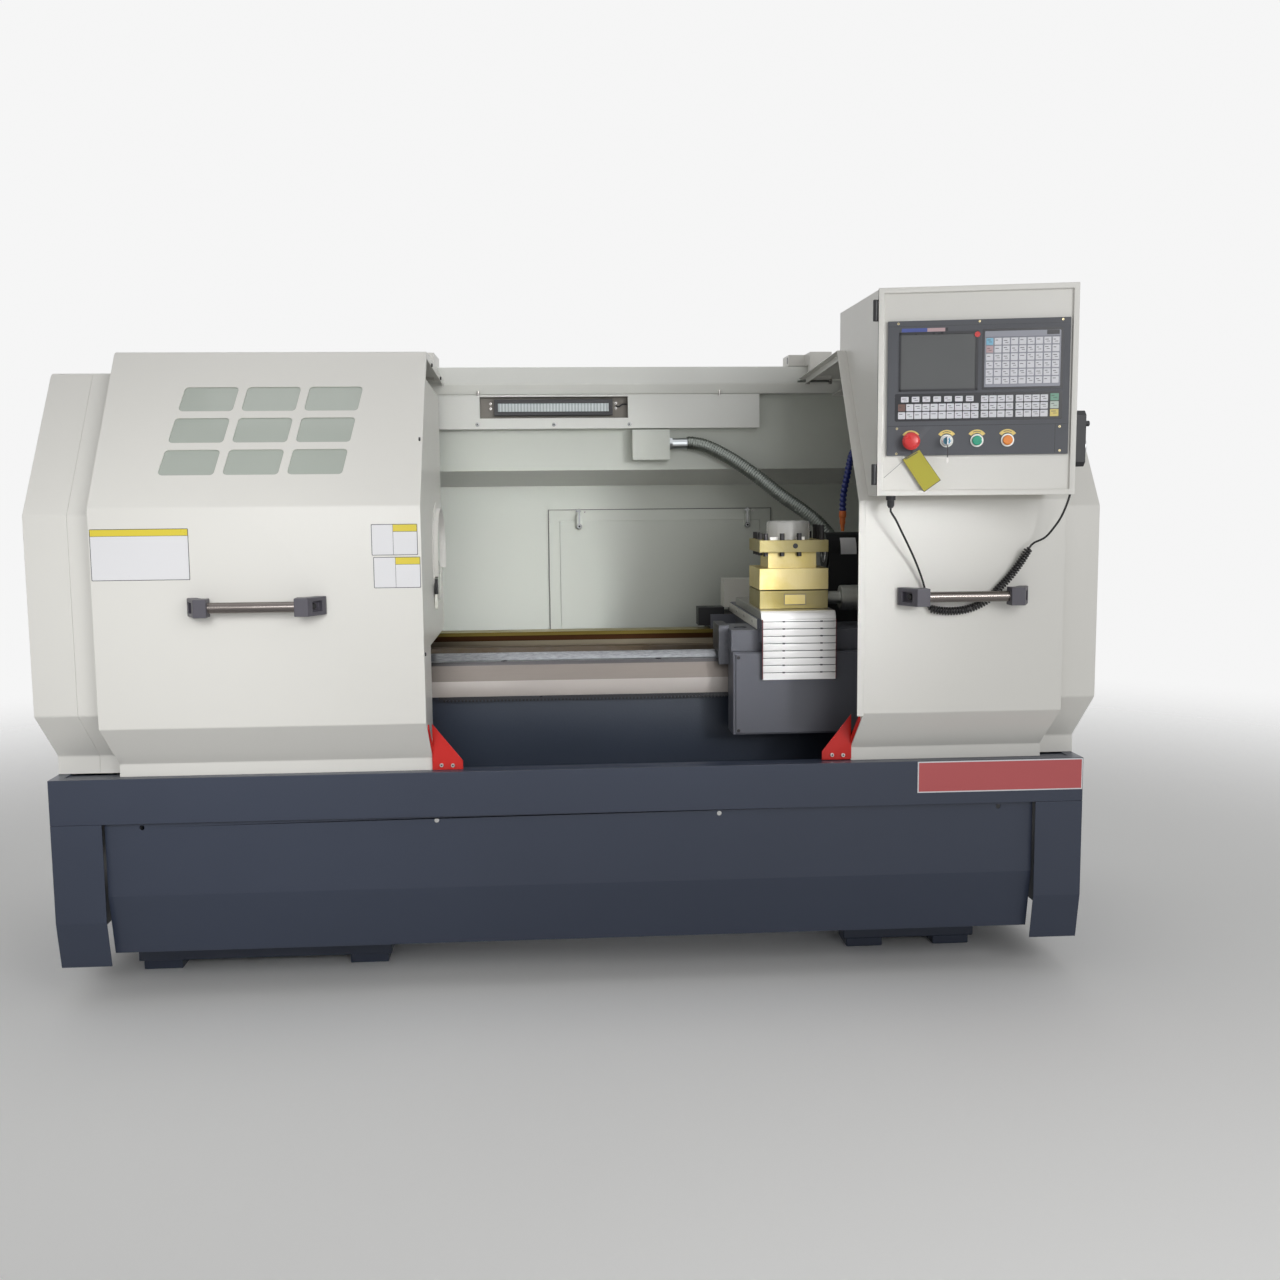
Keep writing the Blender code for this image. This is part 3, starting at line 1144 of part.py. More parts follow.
def tailstock():
    """The tailstock: a base on the inner flats, a pedestal and the quill barrel."""
    x0, x1 = TAILSTOCK
    flat = WAY_TOP - 0.018 + FIT
    rail = BED_FRONT + BED_WIDTH - 0.070
    foot = box(x0, x1 - 0.02, BED_FRONT + 0.120, rail - 0.010, flat, flat + 0.040)
    body = place(foot, "tailstock", DARK, root, False)
    near, far = SPINDLE_LINE - BARREL_RADIUS, SPINDLE_LINE + BARREL_RADIUS
    fuse(body, box(x0 + 0.004, x1 - 0.045, near, far, flat + 0.039, SPINDLE_HEIGHT - 0.002))
    centre = (0.0, SPINDLE_LINE, SPINDLE_HEIGHT)
    fuse(body, rod("X", centre, BARREL_RADIUS, x0, x1, 32))
    cut(body, rod("X", centre, QUILL_RADIUS + FIT, x0 - 0.01, x1 - 0.050, 32))
    cut(body, rod("X", centre, 0.012 + FIT, x1 - 0.060, x1 + 0.01, 24))
    quill = [(x0 + 0.060, 0.0), (x0 + 0.060, QUILL_SOCKET - 0.0015), (x0 - 0.003, QUILL_SOCKET),
             (x0 - 0.003, QUILL_RADIUS - 0.002), (x0 - 0.001, QUILL_RADIUS), (x1 - 0.060, QUILL_RADIUS),
             (x1 - 0.060, 0.0)]
    place(turned(quill, "X", centre, 32), "tailstock_quill", STEEL, root, True)
    hub = x1 + 0.004
    wheel = [(x1 - 0.055, 0.0), (x1 - 0.055, 0.012), (hub, 0.012), (hub, 0.024), (hub + 0.012, 0.026),
             (hub + 0.016, WHEEL_RADIUS - 0.020), (hub + 0.008, WHEEL_RADIUS - 0.006),
             (hub + 0.014, WHEEL_RADIUS),
             (hub + 0.026, WHEEL_RADIUS - 0.003), (hub + 0.028, WHEEL_RADIUS - 0.018), (hub + 0.022, 0.028),
             (hub + 0.030, 0.018), (hub + 0.030, 0.0)]
    made = place(turned(wheel, "X", centre, 32), "tailstock_handwheel", STEEL, root, True)
    knob = (0.0, SPINDLE_LINE, SPINDLE_HEIGHT + WHEEL_RADIUS - 0.018)
    fuse(made, rod("X", knob, 0.009, hub + 0.018, hub + 0.075, 12))


def conduit():
    """The armoured conduit, its route given as shares of the way across and down to the saddle."""
    start, end = CONNECTOR_END, CONDUIT_FOOT[0]
    drop = CONNECTOR[1] - SADDLE_TOP
    way = [(0.0, 0.735, 0.0), (0.037, 0.735, 0.0), (0.130, 0.731, 0.023), (0.274, 0.722, 0.097),
           (0.419, 0.710, 0.196), (0.563, 0.700, 0.308), (0.707, 0.690, 0.408), (0.819, 0.684, 0.5045),
           (0.924, 0.680, 0.649), (0.988, 0.686, 0.809), (1.0, CONDUIT_FOOT[1], 0.940),
           (1.0, CONDUIT_FOOT[1], 1.0)]
    route = [(start + share * (end - start), y, CONNECTOR[1] - fall * drop) for share, y, fall in way]
    points = [point for stretch in smooth_route(route, 0.04) for point in stretch]
    ends = squared(points, Vector((1, 0, 0)), Vector((0, 0, -1)), FIT)
    return tube("conduit", ends, CONDUIT_RADIUS, STEEL)


def coolant_hose():
    """The segmented coolant hose standing on the saddle's rear wing, bent over to its nozzle."""
    foot = HOSE_FOOT[0]
    way = [(0.0, HOSE_FOOT[1], 0.0), (0.002, 0.718, 0.135), (0.002, 0.700, 0.305), (-0.010, 0.650, 0.425),
           (-0.046, 0.560, 0.485), (-0.089, 0.478, 0.460), (-0.112, 0.438, 0.400), (-0.124, 0.430, 0.345),
           (-0.126, 0.430, 0.295), (-0.126, 0.430, 0.245)]
    route = [(foot + x, y, SADDLE_TOP + rise) for x, y, rise in way]
    points = [point for stretch in smooth_route(route, 0.025) for point in stretch]
    up = Vector((0, 0, 1))
    return tube("coolant_hose", squared(points, up, -up, FIT), 0.0085, BLUE)


def build_machine():
    """Builds every piece in order from the floor up."""
    pedestal("left_pedestal", LEFT_PEDESTAL)
    pedestal("right_pedestal", RIGHT_PEDESTAL)
    chip_tray()
    front_cover()
    end_cover("left_end_cover", -1)
    end_cover("right_end_cover", 1)
    bed()
    rack()
    headstock()
    spindle()
    chuck()
    fixed_guards()
    chuck_guard()
    top_beam()
    lamp()
    rear_guard()
    access_panel()
    junction_box()
    cabinet()
    left_door()
    right_door()
    handle("left_handle", LEFT_DOOR_LINE, HANDLE_STARTS[0])
    handle("right_handle", RIGHT_DOOR_LINE, HANDLE_STARTS[1])
    corner_bracket("left_bracket", LEFT_DOOR[1], 1, BRACKET_PLANES[0], LEFT_DOOR_LINE)
    corner_bracket("right_bracket", RIGHT_DOOR[0], -1, BRACKET_PLANES[1], RIGHT_DOOR_LINE)
    console_box()
    console_door()
    control_panel()
    console_buttons()
    generator()
    console_cord()
    saddle()
    apron()
    slat_cover()
    cross_slide()
    turret()
    tailstock()
    conduit()
    coolant_hose()


build_machine()
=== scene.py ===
import json
import math

import bmesh
import bpy
import numpy as np
from mathutils import Matrix, Vector

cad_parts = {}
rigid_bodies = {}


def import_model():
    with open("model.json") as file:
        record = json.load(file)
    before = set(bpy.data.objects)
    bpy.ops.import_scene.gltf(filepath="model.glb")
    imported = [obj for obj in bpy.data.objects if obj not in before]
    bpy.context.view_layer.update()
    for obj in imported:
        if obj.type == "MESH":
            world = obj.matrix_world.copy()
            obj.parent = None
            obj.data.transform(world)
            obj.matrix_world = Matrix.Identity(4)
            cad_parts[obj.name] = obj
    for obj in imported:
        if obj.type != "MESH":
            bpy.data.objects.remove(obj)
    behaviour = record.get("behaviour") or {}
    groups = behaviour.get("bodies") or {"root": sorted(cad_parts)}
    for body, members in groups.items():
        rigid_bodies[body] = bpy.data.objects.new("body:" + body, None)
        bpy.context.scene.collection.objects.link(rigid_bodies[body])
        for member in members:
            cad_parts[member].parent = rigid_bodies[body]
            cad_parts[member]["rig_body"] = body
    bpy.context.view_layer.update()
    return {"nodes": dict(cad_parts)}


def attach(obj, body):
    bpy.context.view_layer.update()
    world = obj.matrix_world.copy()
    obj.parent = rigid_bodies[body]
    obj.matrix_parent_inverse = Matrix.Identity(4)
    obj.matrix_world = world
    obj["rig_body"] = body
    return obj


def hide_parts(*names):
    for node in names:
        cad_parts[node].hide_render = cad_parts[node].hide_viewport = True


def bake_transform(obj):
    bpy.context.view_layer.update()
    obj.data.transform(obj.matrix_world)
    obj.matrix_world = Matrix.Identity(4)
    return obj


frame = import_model()
nodes = frame["nodes"]
print("frame loaded:", len(nodes), "solids")

# Places below are written from the chip tray: x to the right, y back from its front edge, z up from its rim.
shop = {"centreLine": 0.4755134, "trayTop": 0.57}


def onFloor(points):
    # tray places become floor places: y less the centre line, z plus the tray's height
    return np.asarray(points, float) + np.array([0.0, -shop["centreLine"], shop["trayTop"]])


def newObject(name, data):
    made = bpy.data.objects.new(name, data)
    bpy.context.scene.collection.objects.link(made)
    return made


# Camera, at the photograph's place
view = {"place": (-0.0568, -3.2103, 0.6796), "yaw": 3.76, "pitch": 6.45, "roll": 0.53, "lens": 37.406}


def makeCamera():
    # forward from yaw and pitch, then right and up turned about it by the roll
    yaw, pitch, roll = (math.radians(view[k]) for k in ("yaw", "pitch", "roll"))
    forward = Vector((math.sin(yaw) * math.cos(pitch), math.cos(yaw) * math.cos(pitch), -math.sin(pitch)))
    level = Vector((math.cos(yaw), -math.sin(yaw), 0.0))
    down = forward.cross(level)
    right = level * math.cos(roll) + down * math.sin(roll)
    up = level * math.sin(roll) - down * math.cos(roll)
    data = bpy.data.cameras.new("shopCamera")
    data.lens = view["lens"]
    data.sensor_width = 36.0
    data.clip_end = 60.0
    camera = newObject("shopCamera", data)
    turn = Matrix((right, up, -forward)).transposed().to_4x4()
    camera.matrix_world = Matrix.Translation(Vector(onFloor(view["place"]))) @ turn
    bpy.context.scene.camera = camera


makeCamera()

# Shader groups, each built once
socketKinds = {1: "NodeSocketFloat", 3: "NodeSocketVector", 4: "NodeSocketColor"}
surfaceSockets = {"Colour": 4, "Roughness": 1, "Height": 1}


def groupTree(name, inputs, outputs):
    # a socket's kind follows from how many numbers it carries
    tree = bpy.data.node_groups.new(name, "ShaderNodeTree")
    for label, value in inputs.items():
        kind = socketKinds[np.size(value)]
        tree.interface.new_socket(name=label, in_out="INPUT", socket_type=kind).default_value = value
    for label, count in outputs.items():
        tree.interface.new_socket(name=label, in_out="OUTPUT", socket_type=socketKinds[count])
    return tree, tree.nodes.new("NodeGroupInput"), tree.nodes.new("NodeGroupOutput")


def addNode(tree, kind, **values):
    # a node with some of its properties and sockets set: names with a leading cap are sockets
    node = tree.nodes.new("ShaderNode" + kind)
    for key, value in values.items():
        if key[0].isupper():
            node.inputs[key.replace("_", " ")].default_value = value
        else:
            setattr(node, key, value)
    return node


def connect(tree, *rows):
    # rows of a node, its output, the next node and its input
    for source, output, target, entry in rows:
        tree.links.new(source.outputs[output], target.inputs[entry])


def surfaceOutputs(tree, start, end, shade, amount, smear, reach, relief):
    # colour times 1 + amount x (shade - 1/2), roughness as gloss + reach x smear, height as the relief noise
    centred = addNode(tree, "Math", operation="SUBTRACT")
    centred.inputs[1].default_value = 0.5
    factor = addNode(tree, "Math", operation="MULTIPLY_ADD")
    factor.inputs[2].default_value = 1.0
    tinted = addNode(tree, "VectorMath", operation="SCALE")
    rough = addNode(tree, "Math", operation="MULTIPLY_ADD")
    rough.inputs[1].default_value = reach
    connect(tree, (shade, "Fac", centred, 0), (centred, 0, factor, 0),
            (start, amount, factor, 1), (start, "Colour", tinted, 0),
            (factor, 0, tinted, "Scale"), (tinted, 0, end, "Colour"),
            (smear, "Fac", rough, 0), (start, "Gloss", rough, 2),
            (rough, 0, end, "Roughness"), (relief, "Fac", end, "Height"))


def paintGroup():
    # paint: a broad drift in its shade, smears in its gloss, orange peel as height
    inputs = {"Colour": (0.8, 0.8, 0.8, 1), "Drift": 0.04, "Gloss": 0.35, "Peel": 900.0}
    tree, start, end = groupTree("paintFilm", inputs, surfaceSockets)
    place = addNode(tree, "TexCoord")
    broad = addNode(tree, "TexNoise", Scale=2.3, Detail=4.0, Roughness=0.6)
    fine = addNode(tree, "TexNoise", Detail=2.0)
    smear = addNode(tree, "TexNoise", Scale=14.0, Detail=5.0, Roughness=0.7)
    connect(tree, *((place, "Object", noise, "Vector") for noise in (broad, fine, smear)),
            (start, "Peel", fine, "Scale"))
    surfaceOutputs(tree, start, end, broad, "Drift", smear, 0.16, fine)
    return tree


def grainGroup():
    # metal: noise stretched along one way gives streaks in colour, gloss and height
    inputs = {"Colour": (0.6, 0.6, 0.6, 1), "Stretch": (1.0, 60.0, 60.0), "Scale": 12.0, "Contrast": 0.25,
              "Gloss": 0.25}
    tree, start, end = groupTree("metalGrain", inputs, surfaceSockets)
    place = addNode(tree, "TexCoord")
    stretch = addNode(tree, "VectorMath", operation="MULTIPLY")
    streak = addNode(tree, "TexNoise", Detail=5.0, Roughness=0.65)
    connect(tree, (place, "Object", stretch, 0), (start, "Stretch", stretch, 1),
            (stretch, 0, streak, "Vector"), (start, "Scale", streak, "Scale"))
    surfaceOutputs(tree, start, end, streak, "Contrast", streak, 0.22, streak)
    return tree


def oilGroup():
    # preserving oil: a mask of pooled spots mixes the oil's colour over the metal's
    inputs = {"Colour": (0.6, 0.6, 0.6, 1), "Oil": (0.35, 0.28, 0.08, 1), "Cover": 0.5, "Scale": 9.0}
    tree, start, end = groupTree("oilPools", inputs, {"Colour": 4})
    place = addNode(tree, "TexCoord")
    pool = addNode(tree, "TexNoise", Detail=6.0, Roughness=0.6, Distortion=0.8)
    mask = addNode(tree, "MapRange", From_Min=0.38, From_Max=0.62, To_Min=0.0)
    mix = addNode(tree, "Mix", data_type="RGBA")
    connect(tree, (place, "Object", pool, "Vector"), (start, "Scale", pool, "Scale"),
            (pool, "Fac", mask, "Value"), (start, "Cover", mask, "To Max"),
            (mask, "Result", mix, "Factor"), (start, "Colour", mix, 6),
            (start, "Oil", mix, 7), (mix, 2, end, "Colour"))
    return tree


groups = {"paint": paintGroup(), "grain": grainGroup(), "oil": oilGroup()}
finishes = {}


def shaderOf(name, **sockets):
    # a material with its Principled BSDF, whose plain numbers are set on its own sockets
    made = bpy.data.materials.new(name)
    made.use_nodes = True
    shader = made.node_tree.nodes["Principled BSDF"]
    for key, value in sockets.items():
        shader.inputs[key.replace("_", " ")].default_value = value
    finishes[name] = made
    return made, made.node_tree, shader


def useGroup(tree, kind, **sockets):
    node = addNode(tree, "Group")
    node.node_tree = groups[kind]
    for key, value in sockets.items():
        node.inputs[key].default_value = value
    return node


def wireUp(tree, shader, node, depth):
    # colour, roughness and a bump from a group's outputs
    bump = addNode(tree, "Bump", Strength=1.0, Distance=depth)
    connect(tree, (node, "Colour", shader, "Base Color"),
            (node, "Roughness", shader, "Roughness"),
            (node, "Height", bump, "Height"), (bump, "Normal", shader, "Normal"))


def paint(name, colour, gloss=0.3, drift=0.05, peel=700.0, depth=0.00006, **sockets):
    _, tree, shader = shaderOf(name, **sockets)
    film = useGroup(tree, "paint", Colour=(*colour, 1), Drift=drift, Gloss=gloss, Peel=peel)
    wireUp(tree, shader, film, depth)


def metal(name, colour, stretch=(1.0, 60.0, 60.0), scale=12.0, contrast=0.25, gloss=0.2, depth=0.00004,
          **sockets):
    _, tree, shader = shaderOf(name, **{"Metallic": 1.0, **sockets})
    grain = useGroup(tree, "grain", Colour=(*colour, 1), Stretch=stretch, Scale=scale, Contrast=contrast,
                     Gloss=gloss)
    wireUp(tree, shader, grain, depth)
    return tree


def oiled(name, colour, oil, cover, pools=9.0, **grainSettings):
    # the metal's streaked colour goes through the oil group before it reaches the shader
    tree = metal(name, colour, **grainSettings)
    base = tree.nodes["Principled BSDF"].inputs["Base Color"]
    film = useGroup(tree, "oil", Oil=(*oil, 1), Cover=cover, Scale=pools)
    tree.links.new(base.links[0].from_socket, film.inputs["Colour"])
    tree.links.new(film.outputs["Colour"], base)


def bands(name, low, high, stops, **settings):
    # ground metal whose colour changes with height, one even band from each stop up to the next
    tree = metal(name, (0.5, 0.5, 0.5), **settings)
    grain = next(node for node in tree.nodes if node.type == "GROUP")
    place = addNode(tree, "TexCoord")
    split = addNode(tree, "SeparateXYZ")
    height = addNode(tree, "MapRange", From_Min=low, From_Max=high)
    ramp = addNode(tree, "ValToRGB")
    ramp.color_ramp.interpolation = "CONSTANT"
    for spot, (share, colour) in enumerate(stops):
        stop = ramp.color_ramp.elements[0] if spot == 0 else ramp.color_ramp.elements.new(share)
        stop.position = share
        stop.color = (*colour, 1)
    connect(tree, (place, "Object", split, 0), (split, "Z", height, "Value"),
            (height, "Result", ramp, "Fac"), (ramp, "Color", grain, "Colour"))


def striped(name, dark, pale, count, **sockets):
    # a lens with fine upright stripes: a sine along x mixes the two colours
    _, tree, shader = shaderOf(name, **sockets)
    place = addNode(tree, "TexCoord")
    wave = addNode(tree, "TexWave", bands_direction="X", Scale=count, Distortion=0.0)
    mix = addNode(tree, "Mix", data_type="RGBA")
    mix.inputs[6].default_value = (*dark, 1)
    mix.inputs[7].default_value = (*pale, 1)
    bump = addNode(tree, "Bump", Strength=0.6, Distance=0.0005)
    connect(tree, (place, "Object", wave, "Vector"), (wave, "Fac", mix, "Factor"),
            (mix, 2, shader, "Base Color"), (wave, "Fac", bump, "Height"),
            (bump, "Normal", shader, "Normal"))


# Plain paints: colour, gloss and drift
paints = {
    "guardWhite": ((0.755, 0.745, 0.705), 0.26, 0.03), "guardInside": ((0.66, 0.69, 0.63), 0.32, 0.05),
    # The beam's two whites are lighter copies of the guard white: painted light on the top beam and on faces
    # that look down
    "beamGrey": ((0.79, 0.80, 0.76), 0.28, 0.04), "beamFoot": ((0.93, 0.94, 0.89), 0.28, 0.04),
    "seamGrey": ((0.16, 0.16, 0.155), 0.5, 0.05), "baseSlate": ((0.034, 0.044, 0.073), 0.26, 0.12),
    "apronGrey": ((0.110, 0.115, 0.138), 0.30, 0.12), "keyMark": ((0.06, 0.06, 0.07), 0.30, 0.04),
    "plateRed": ((0.62, 0.010, 0.005), 0.24, 0.06), "plateDull": ((0.52, 0.10, 0.105), 0.30, 0.12),
    "labelWhite": ((0.78, 0.78, 0.80), 0.22, 0.03), "labelYellow": ((0.76, 0.62, 0.045), 0.22, 0.05),
    "tagYellow": ((0.42, 0.38, 0.03), 0.36, 0.15), "fieldYellow": ((0.80, 0.62, 0.20), 0.3, 0.05),
    "creamLip": ((0.39, 0.355, 0.33), 0.26, 0.14), "guideCream": ((0.80, 0.79, 0.72), 0.22, 0.15),
    "recessBrown": ((0.24, 0.22, 0.19), 0.30, 0.25), "hoseBlue": ((0.008, 0.020, 0.17), 0.26, 0.1),
    "sealRed": ((0.14, 0.015, 0.02), 0.40, 0.1), "keyBarrelBlue": ((0.06, 0.09, 0.33), 0.25, 0.05),
    "hoseOrange": ((0.72, 0.17, 0.035), 0.30, 0.1), "stopRed": ((0.64, 0.035, 0.035), 0.20, 0.05),
    "keyBarrel": ((0.10, 0.30, 0.42), 0.15, 0.2),
}
for name, settings in paints.items():
    paint(name, *settings)
paint("bedSlate", (0.038, 0.048, 0.070), gloss=0.26, drift=0.30, peel=200.0, depth=0.0003)
# a flat black without shine, for holes: painted shade
paint("holeShadeBlack", (0.004, 0.004, 0.005), gloss=0.80, drift=0.05, Specular_IOR_Level=0.0)
paint("castBlack", (0.005, 0.0055, 0.007), gloss=0.34, drift=0.25, peel=240.0, depth=0.0002,
      Specular_IOR_Level=0.3)
paint("panelCharcoal", (0.070, 0.074, 0.086), gloss=0.42, drift=0.05, peel=1500.0)
paint("frameBlack", (0.012, 0.013, 0.018), gloss=0.22, drift=0.08, peel=1500.0)
paint("keyGround", (0.30, 0.31, 0.36), gloss=0.25, drift=0.06, peel=1500.0)
paint("keyWhite", (0.70, 0.70, 0.74), gloss=0.22, drift=0.04, peel=1500.0)
for name, colour in {"keyBlue": (0.22, 0.50, 0.68), "keyRose": (0.52, 0.36, 0.38),
                     "keyBrown": (0.16, 0.09, 0.075), "keyGreen": (0.15, 0.34, 0.24),
                     "keyPale": (0.50, 0.58, 0.52), "keyYellow": (0.72, 0.58, 0.16)}.items():
    paint(name, colour, gloss=0.22, drift=0.04)
paint("plasticBlack", (0.020, 0.020, 0.023), gloss=0.32, drift=0.10, peel=1400.0)
paint("gripGrey", (0.075, 0.071, 0.088), gloss=0.38, drift=0.10, peel=1500.0, depth=0.0001)
metal("groundSteel", (0.56, 0.55, 0.53), contrast=0.35)
metal("blackSteel", (0.060, 0.058, 0.060), scale=60.0, contrast=0.4, gloss=0.25)
metal("boltSteel", (0.62, 0.60, 0.58), scale=60.0, contrast=0.3, gloss=0.18)
metal("brassScrew", (0.62, 0.53, 0.32), scale=60.0, contrast=0.3, gloss=0.18)
metal("turnedSteel", (0.66, 0.66, 0.67), stretch=(80.0, 1.0, 1.0), contrast=0.3, gloss=0.16)
metal("tubeSteel", (0.19, 0.17, 0.16), contrast=0.35, gloss=0.12)
metal("slatAlloy", (0.97, 0.965, 0.96), contrast=0.06, gloss=0.32, Metallic=0.55)
metal("platedZinc", (0.52, 0.55, 0.57), scale=30.0, contrast=0.3, gloss=0.22)
metal("latchSteel", (0.34, 0.35, 0.35), scale=40.0, contrast=0.3, gloss=0.22)
metal("armourGrey", (0.27, 0.29, 0.27), stretch=(1.0, 1.0, 1.0), scale=60.0, contrast=0.6, gloss=0.24)
metal("motorGrey", (0.50, 0.51, 0.48), stretch=(1.0, 1.0, 1.0), scale=50.0, contrast=0.2, gloss=0.30)
metal("wiperGrey", (0.10, 0.103, 0.115), stretch=(1.0, 1.0, 1.0), scale=90.0, contrast=0.9, gloss=0.34)
metal("scrapedSilver", (0.30, 0.31, 0.33), stretch=(1.0, 4.0, 4.0), scale=60.0, contrast=1.8, gloss=0.22,
      depth=0.0004, Metallic=0.85)
metal("taupeSlope", (0.16, 0.14, 0.125), contrast=0.3, gloss=0.34, Metallic=0.5)
oiled("oiledWay", (0.120, 0.096, 0.072), (0.085, 0.056, 0.024), 0.7, gloss=0.36, Metallic=0.35)
oiled("oiledRail", (0.30, 0.26, 0.12), (0.20, 0.155, 0.03), 0.8, gloss=0.28, Metallic=0.6)
for name, colour, oil, gloss in (("oiledTurret", (0.70, 0.59, 0.30), (0.60, 0.47, 0.11), 0.32),
                                 ("oiledBase", (0.37, 0.32, 0.165), (0.31, 0.25, 0.068), 0.34)):
    oiled(name, colour, oil, 0.75, pools=6.0, gloss=gloss, stretch=(30.0, 30.0, 1.0), contrast=0.16)
bands("railBands", 0.802, 0.842, [(0.0, (0.14, 0.122, 0.09)), (0.36, (0.028, 0.012, 0.005)),
                                  (0.74, (0.11, 0.085, 0.022))], contrast=0.3, gloss=0.3)
paint("lensGreen", (0.015, 0.36, 0.22), gloss=0.10, drift=0.3, Coat_Weight=0.6)
paint("lensOrange", (0.86, 0.25, 0.02), gloss=0.10, drift=0.3, Coat_Weight=0.6)
paint("cordRubber", (0.022, 0.021, 0.022), gloss=0.14, drift=0.15, peel=1200.0)
paint("screenGlass", (0.075, 0.080, 0.082), gloss=0.06, drift=0.35, depth=0.0004, peel=24.0, Coat_Weight=1.0)
paint("windowGlass", (0.52, 0.57, 0.51), gloss=0.05, drift=0.20, Coat_Weight=0.8, Transmission_Weight=0.25)
shaderOf("capClear", Base_Color=(0.95, 0.95, 0.93, 1), Roughness=0.22, Transmission_Weight=0.7, IOR=1.40)
striped("lampStripes", (0.40, 0.46, 0.47), (0.68, 0.74, 0.75), 34.0, Roughness=0.18)
print("finishes made:", len(finishes))

# Places for flat work: each takes rows of (u, v, depth), where depth stands out of the surface


def onFront(y):
    return lambda p: np.column_stack([p[:, 0], y - p[:, 2], p[:, 1]])  # u is x, v is z


def onSide(x, way):
    return lambda p: np.column_stack([x + way * p[:, 2], p[:, 0], p[:, 1]])  # u is y, v is z


def onTop(z):
    return lambda p: np.column_stack([p[:, 0], p[:, 1], z + p[:, 2]])  # u is x, v is y


def onBack(y):
    return lambda p: np.column_stack([p[:, 0], y + p[:, 2], p[:, 1]])  # u is x, v is z


consolePlace = {"corner": (0.69, -0.181), "yaw": 12.0}


def onConsole(p):
    # u runs along the console's width, v is z, and its front is turned about the upright by the yaw
    turn = math.radians(consolePlace["yaw"])
    x, y = consolePlace["corner"]
    c, d = math.cos(turn), math.sin(turn)
    return np.column_stack([x + p[:, 0] * c - p[:, 2] * d, y - p[:, 0] * d - p[:, 2] * c, p[:, 1]])


def alongConsole(x, y):
    # how far along the console's front a point is, and how far out; sine and cosine have five places
    turn = math.radians(consolePlace["yaw"])
    c, d = round(math.cos(turn), 5), round(math.sin(turn), 5)
    across, back = x - consolePlace["corner"][0], y - consolePlace["corner"][1]
    return across * c - back * d, -across * d - back * c


# Parts: each is a finish with its points, in tray places, and its faces


def ringFaces(rows, cols):
    # quads between neighbouring rings of cols points, and one face over each end ring
    index = np.arange(rows * cols).reshape(rows, cols)
    a, b = index[:-1], index[1:]
    quads = np.stack([a, np.roll(a, -1, 1), np.roll(b, -1, 1), b], -1).reshape(-1, 4).tolist()
    return quads + [index[0][::-1].tolist(), index[-1].tolist()]


def slab(finish, outline, near, far, place):
    # an outline of (u, v) points at two depths
    flat = np.asarray(outline, float)
    rings = [np.column_stack([flat, np.full(len(flat), depth)]) for depth in (near, far)]
    return finish, place(np.concatenate(rings)), ringFaces(2, len(flat))


def lathed(finish, centre, profile, place, sides=16):
    # (depth, radius) pairs turned about the depth axis through the centre (u, v)
    turn = np.linspace(0, 2 * np.pi, sides, endpoint=False)
    depth, radius = np.asarray(profile, float).T
    points = np.stack([centre[0] + radius[:, None] * np.cos(turn), centre[1] + radius[:, None] * np.sin(turn),
                       np.broadcast_to(depth[:, None], (len(depth), sides))], -1)
    return finish, place(points.reshape(-1, 3)), ringFaces(len(depth), sides)


def rect(u0, u1, v0, v1, corner=0.0):
    # a rectangle whose corners are quarter circles of four points
    if not corner:
        return np.array([(u0, v0), (u1, v0), (u1, v1), (u0, v1)])
    left, right, low, high = u0 + corner, u1 - corner, v0 + corner, v1 - corner
    arcs = []
    for quarter, (u, v) in enumerate([(right, high), (left, high), (left, low), (right, low)]):
        turn = np.radians([0, 30, 60, 90]) + quarter * np.pi / 2
        arcs.append(np.column_stack([u + corner * np.cos(turn), v + corner * np.sin(turn)]))
    return np.concatenate(arcs)


def plates(place, rows):
    # rows of a finish, a rectangle's sides and corner radius, and its near and far depth
    return [slab(finish, rect(*sides), near, far, place) for finish, sides, near, far in rows]


def arcBand(centre, inner, outer, first, last, steps=12):
    # a ring's sector between two angles in degrees
    turn = np.radians(np.linspace(first, last, steps))
    ring = np.column_stack([np.cos(turn), np.sin(turn)])
    return np.concatenate([centre + outer * ring, (centre + inner * ring)[::-1]])


def screw(centre, radius, place, height=0.0035, finish="blackSteel"):
    # a round head with a chamfer and a six-sided recess, drawn as a flat black hexagon: painted shade
    head = [(-0.0006, radius), (height * 0.75, radius), (height, radius * 0.85), (height, radius * 0.55)]
    recess = [(height - 0.0004, radius * 0.5), (height + 0.00015, radius * 0.5)]
    return [lathed(finish, centre, head, place, 18), lathed("frameBlack", centre, recess, place, 6)]


def screws(spots, radius, place, height=0.0035, finish="blackSteel"):
    return [part for spot in spots for part in screw(spot, radius, place, height, finish)]


def outward(mesh, merge=1e-6):
    # merges points that lie within the given distance, if any, and turns every face out
    work = bmesh.new()
    work.from_mesh(mesh)
    if merge:
        bmesh.ops.remove_doubles(work, verts=work.verts, dist=merge)
    bmesh.ops.recalc_face_normals(work, faces=work.faces)
    work.to_mesh(mesh)
    work.free()
    return mesh


def joinParts(name, parts, body, edge=0.0):
    # all the parts as one mesh, with one material for each finish in use
    used = list(dict.fromkeys(part[0] for part in parts))
    starts = np.cumsum([0] + [len(part[1]) for part in parts])
    faces = [[corner + int(start) for corner in face]
             for part, start in zip(parts, starts) for face in part[2]]
    slots = [used.index(part[0]) for part in parts for _ in part[2]]
    mesh = bpy.data.meshes.new(name)
    mesh.from_pydata(onFloor(np.concatenate([part[1] for part in parts])).tolist(), [], faces)
    mesh.polygons.foreach_set("material_index", slots)
    made = makePiece(name, outward(mesh, merge=0.0), used, body)
    if edge:
        softenEdges(made, edge)
    return made


sharpAngle = math.radians(34)


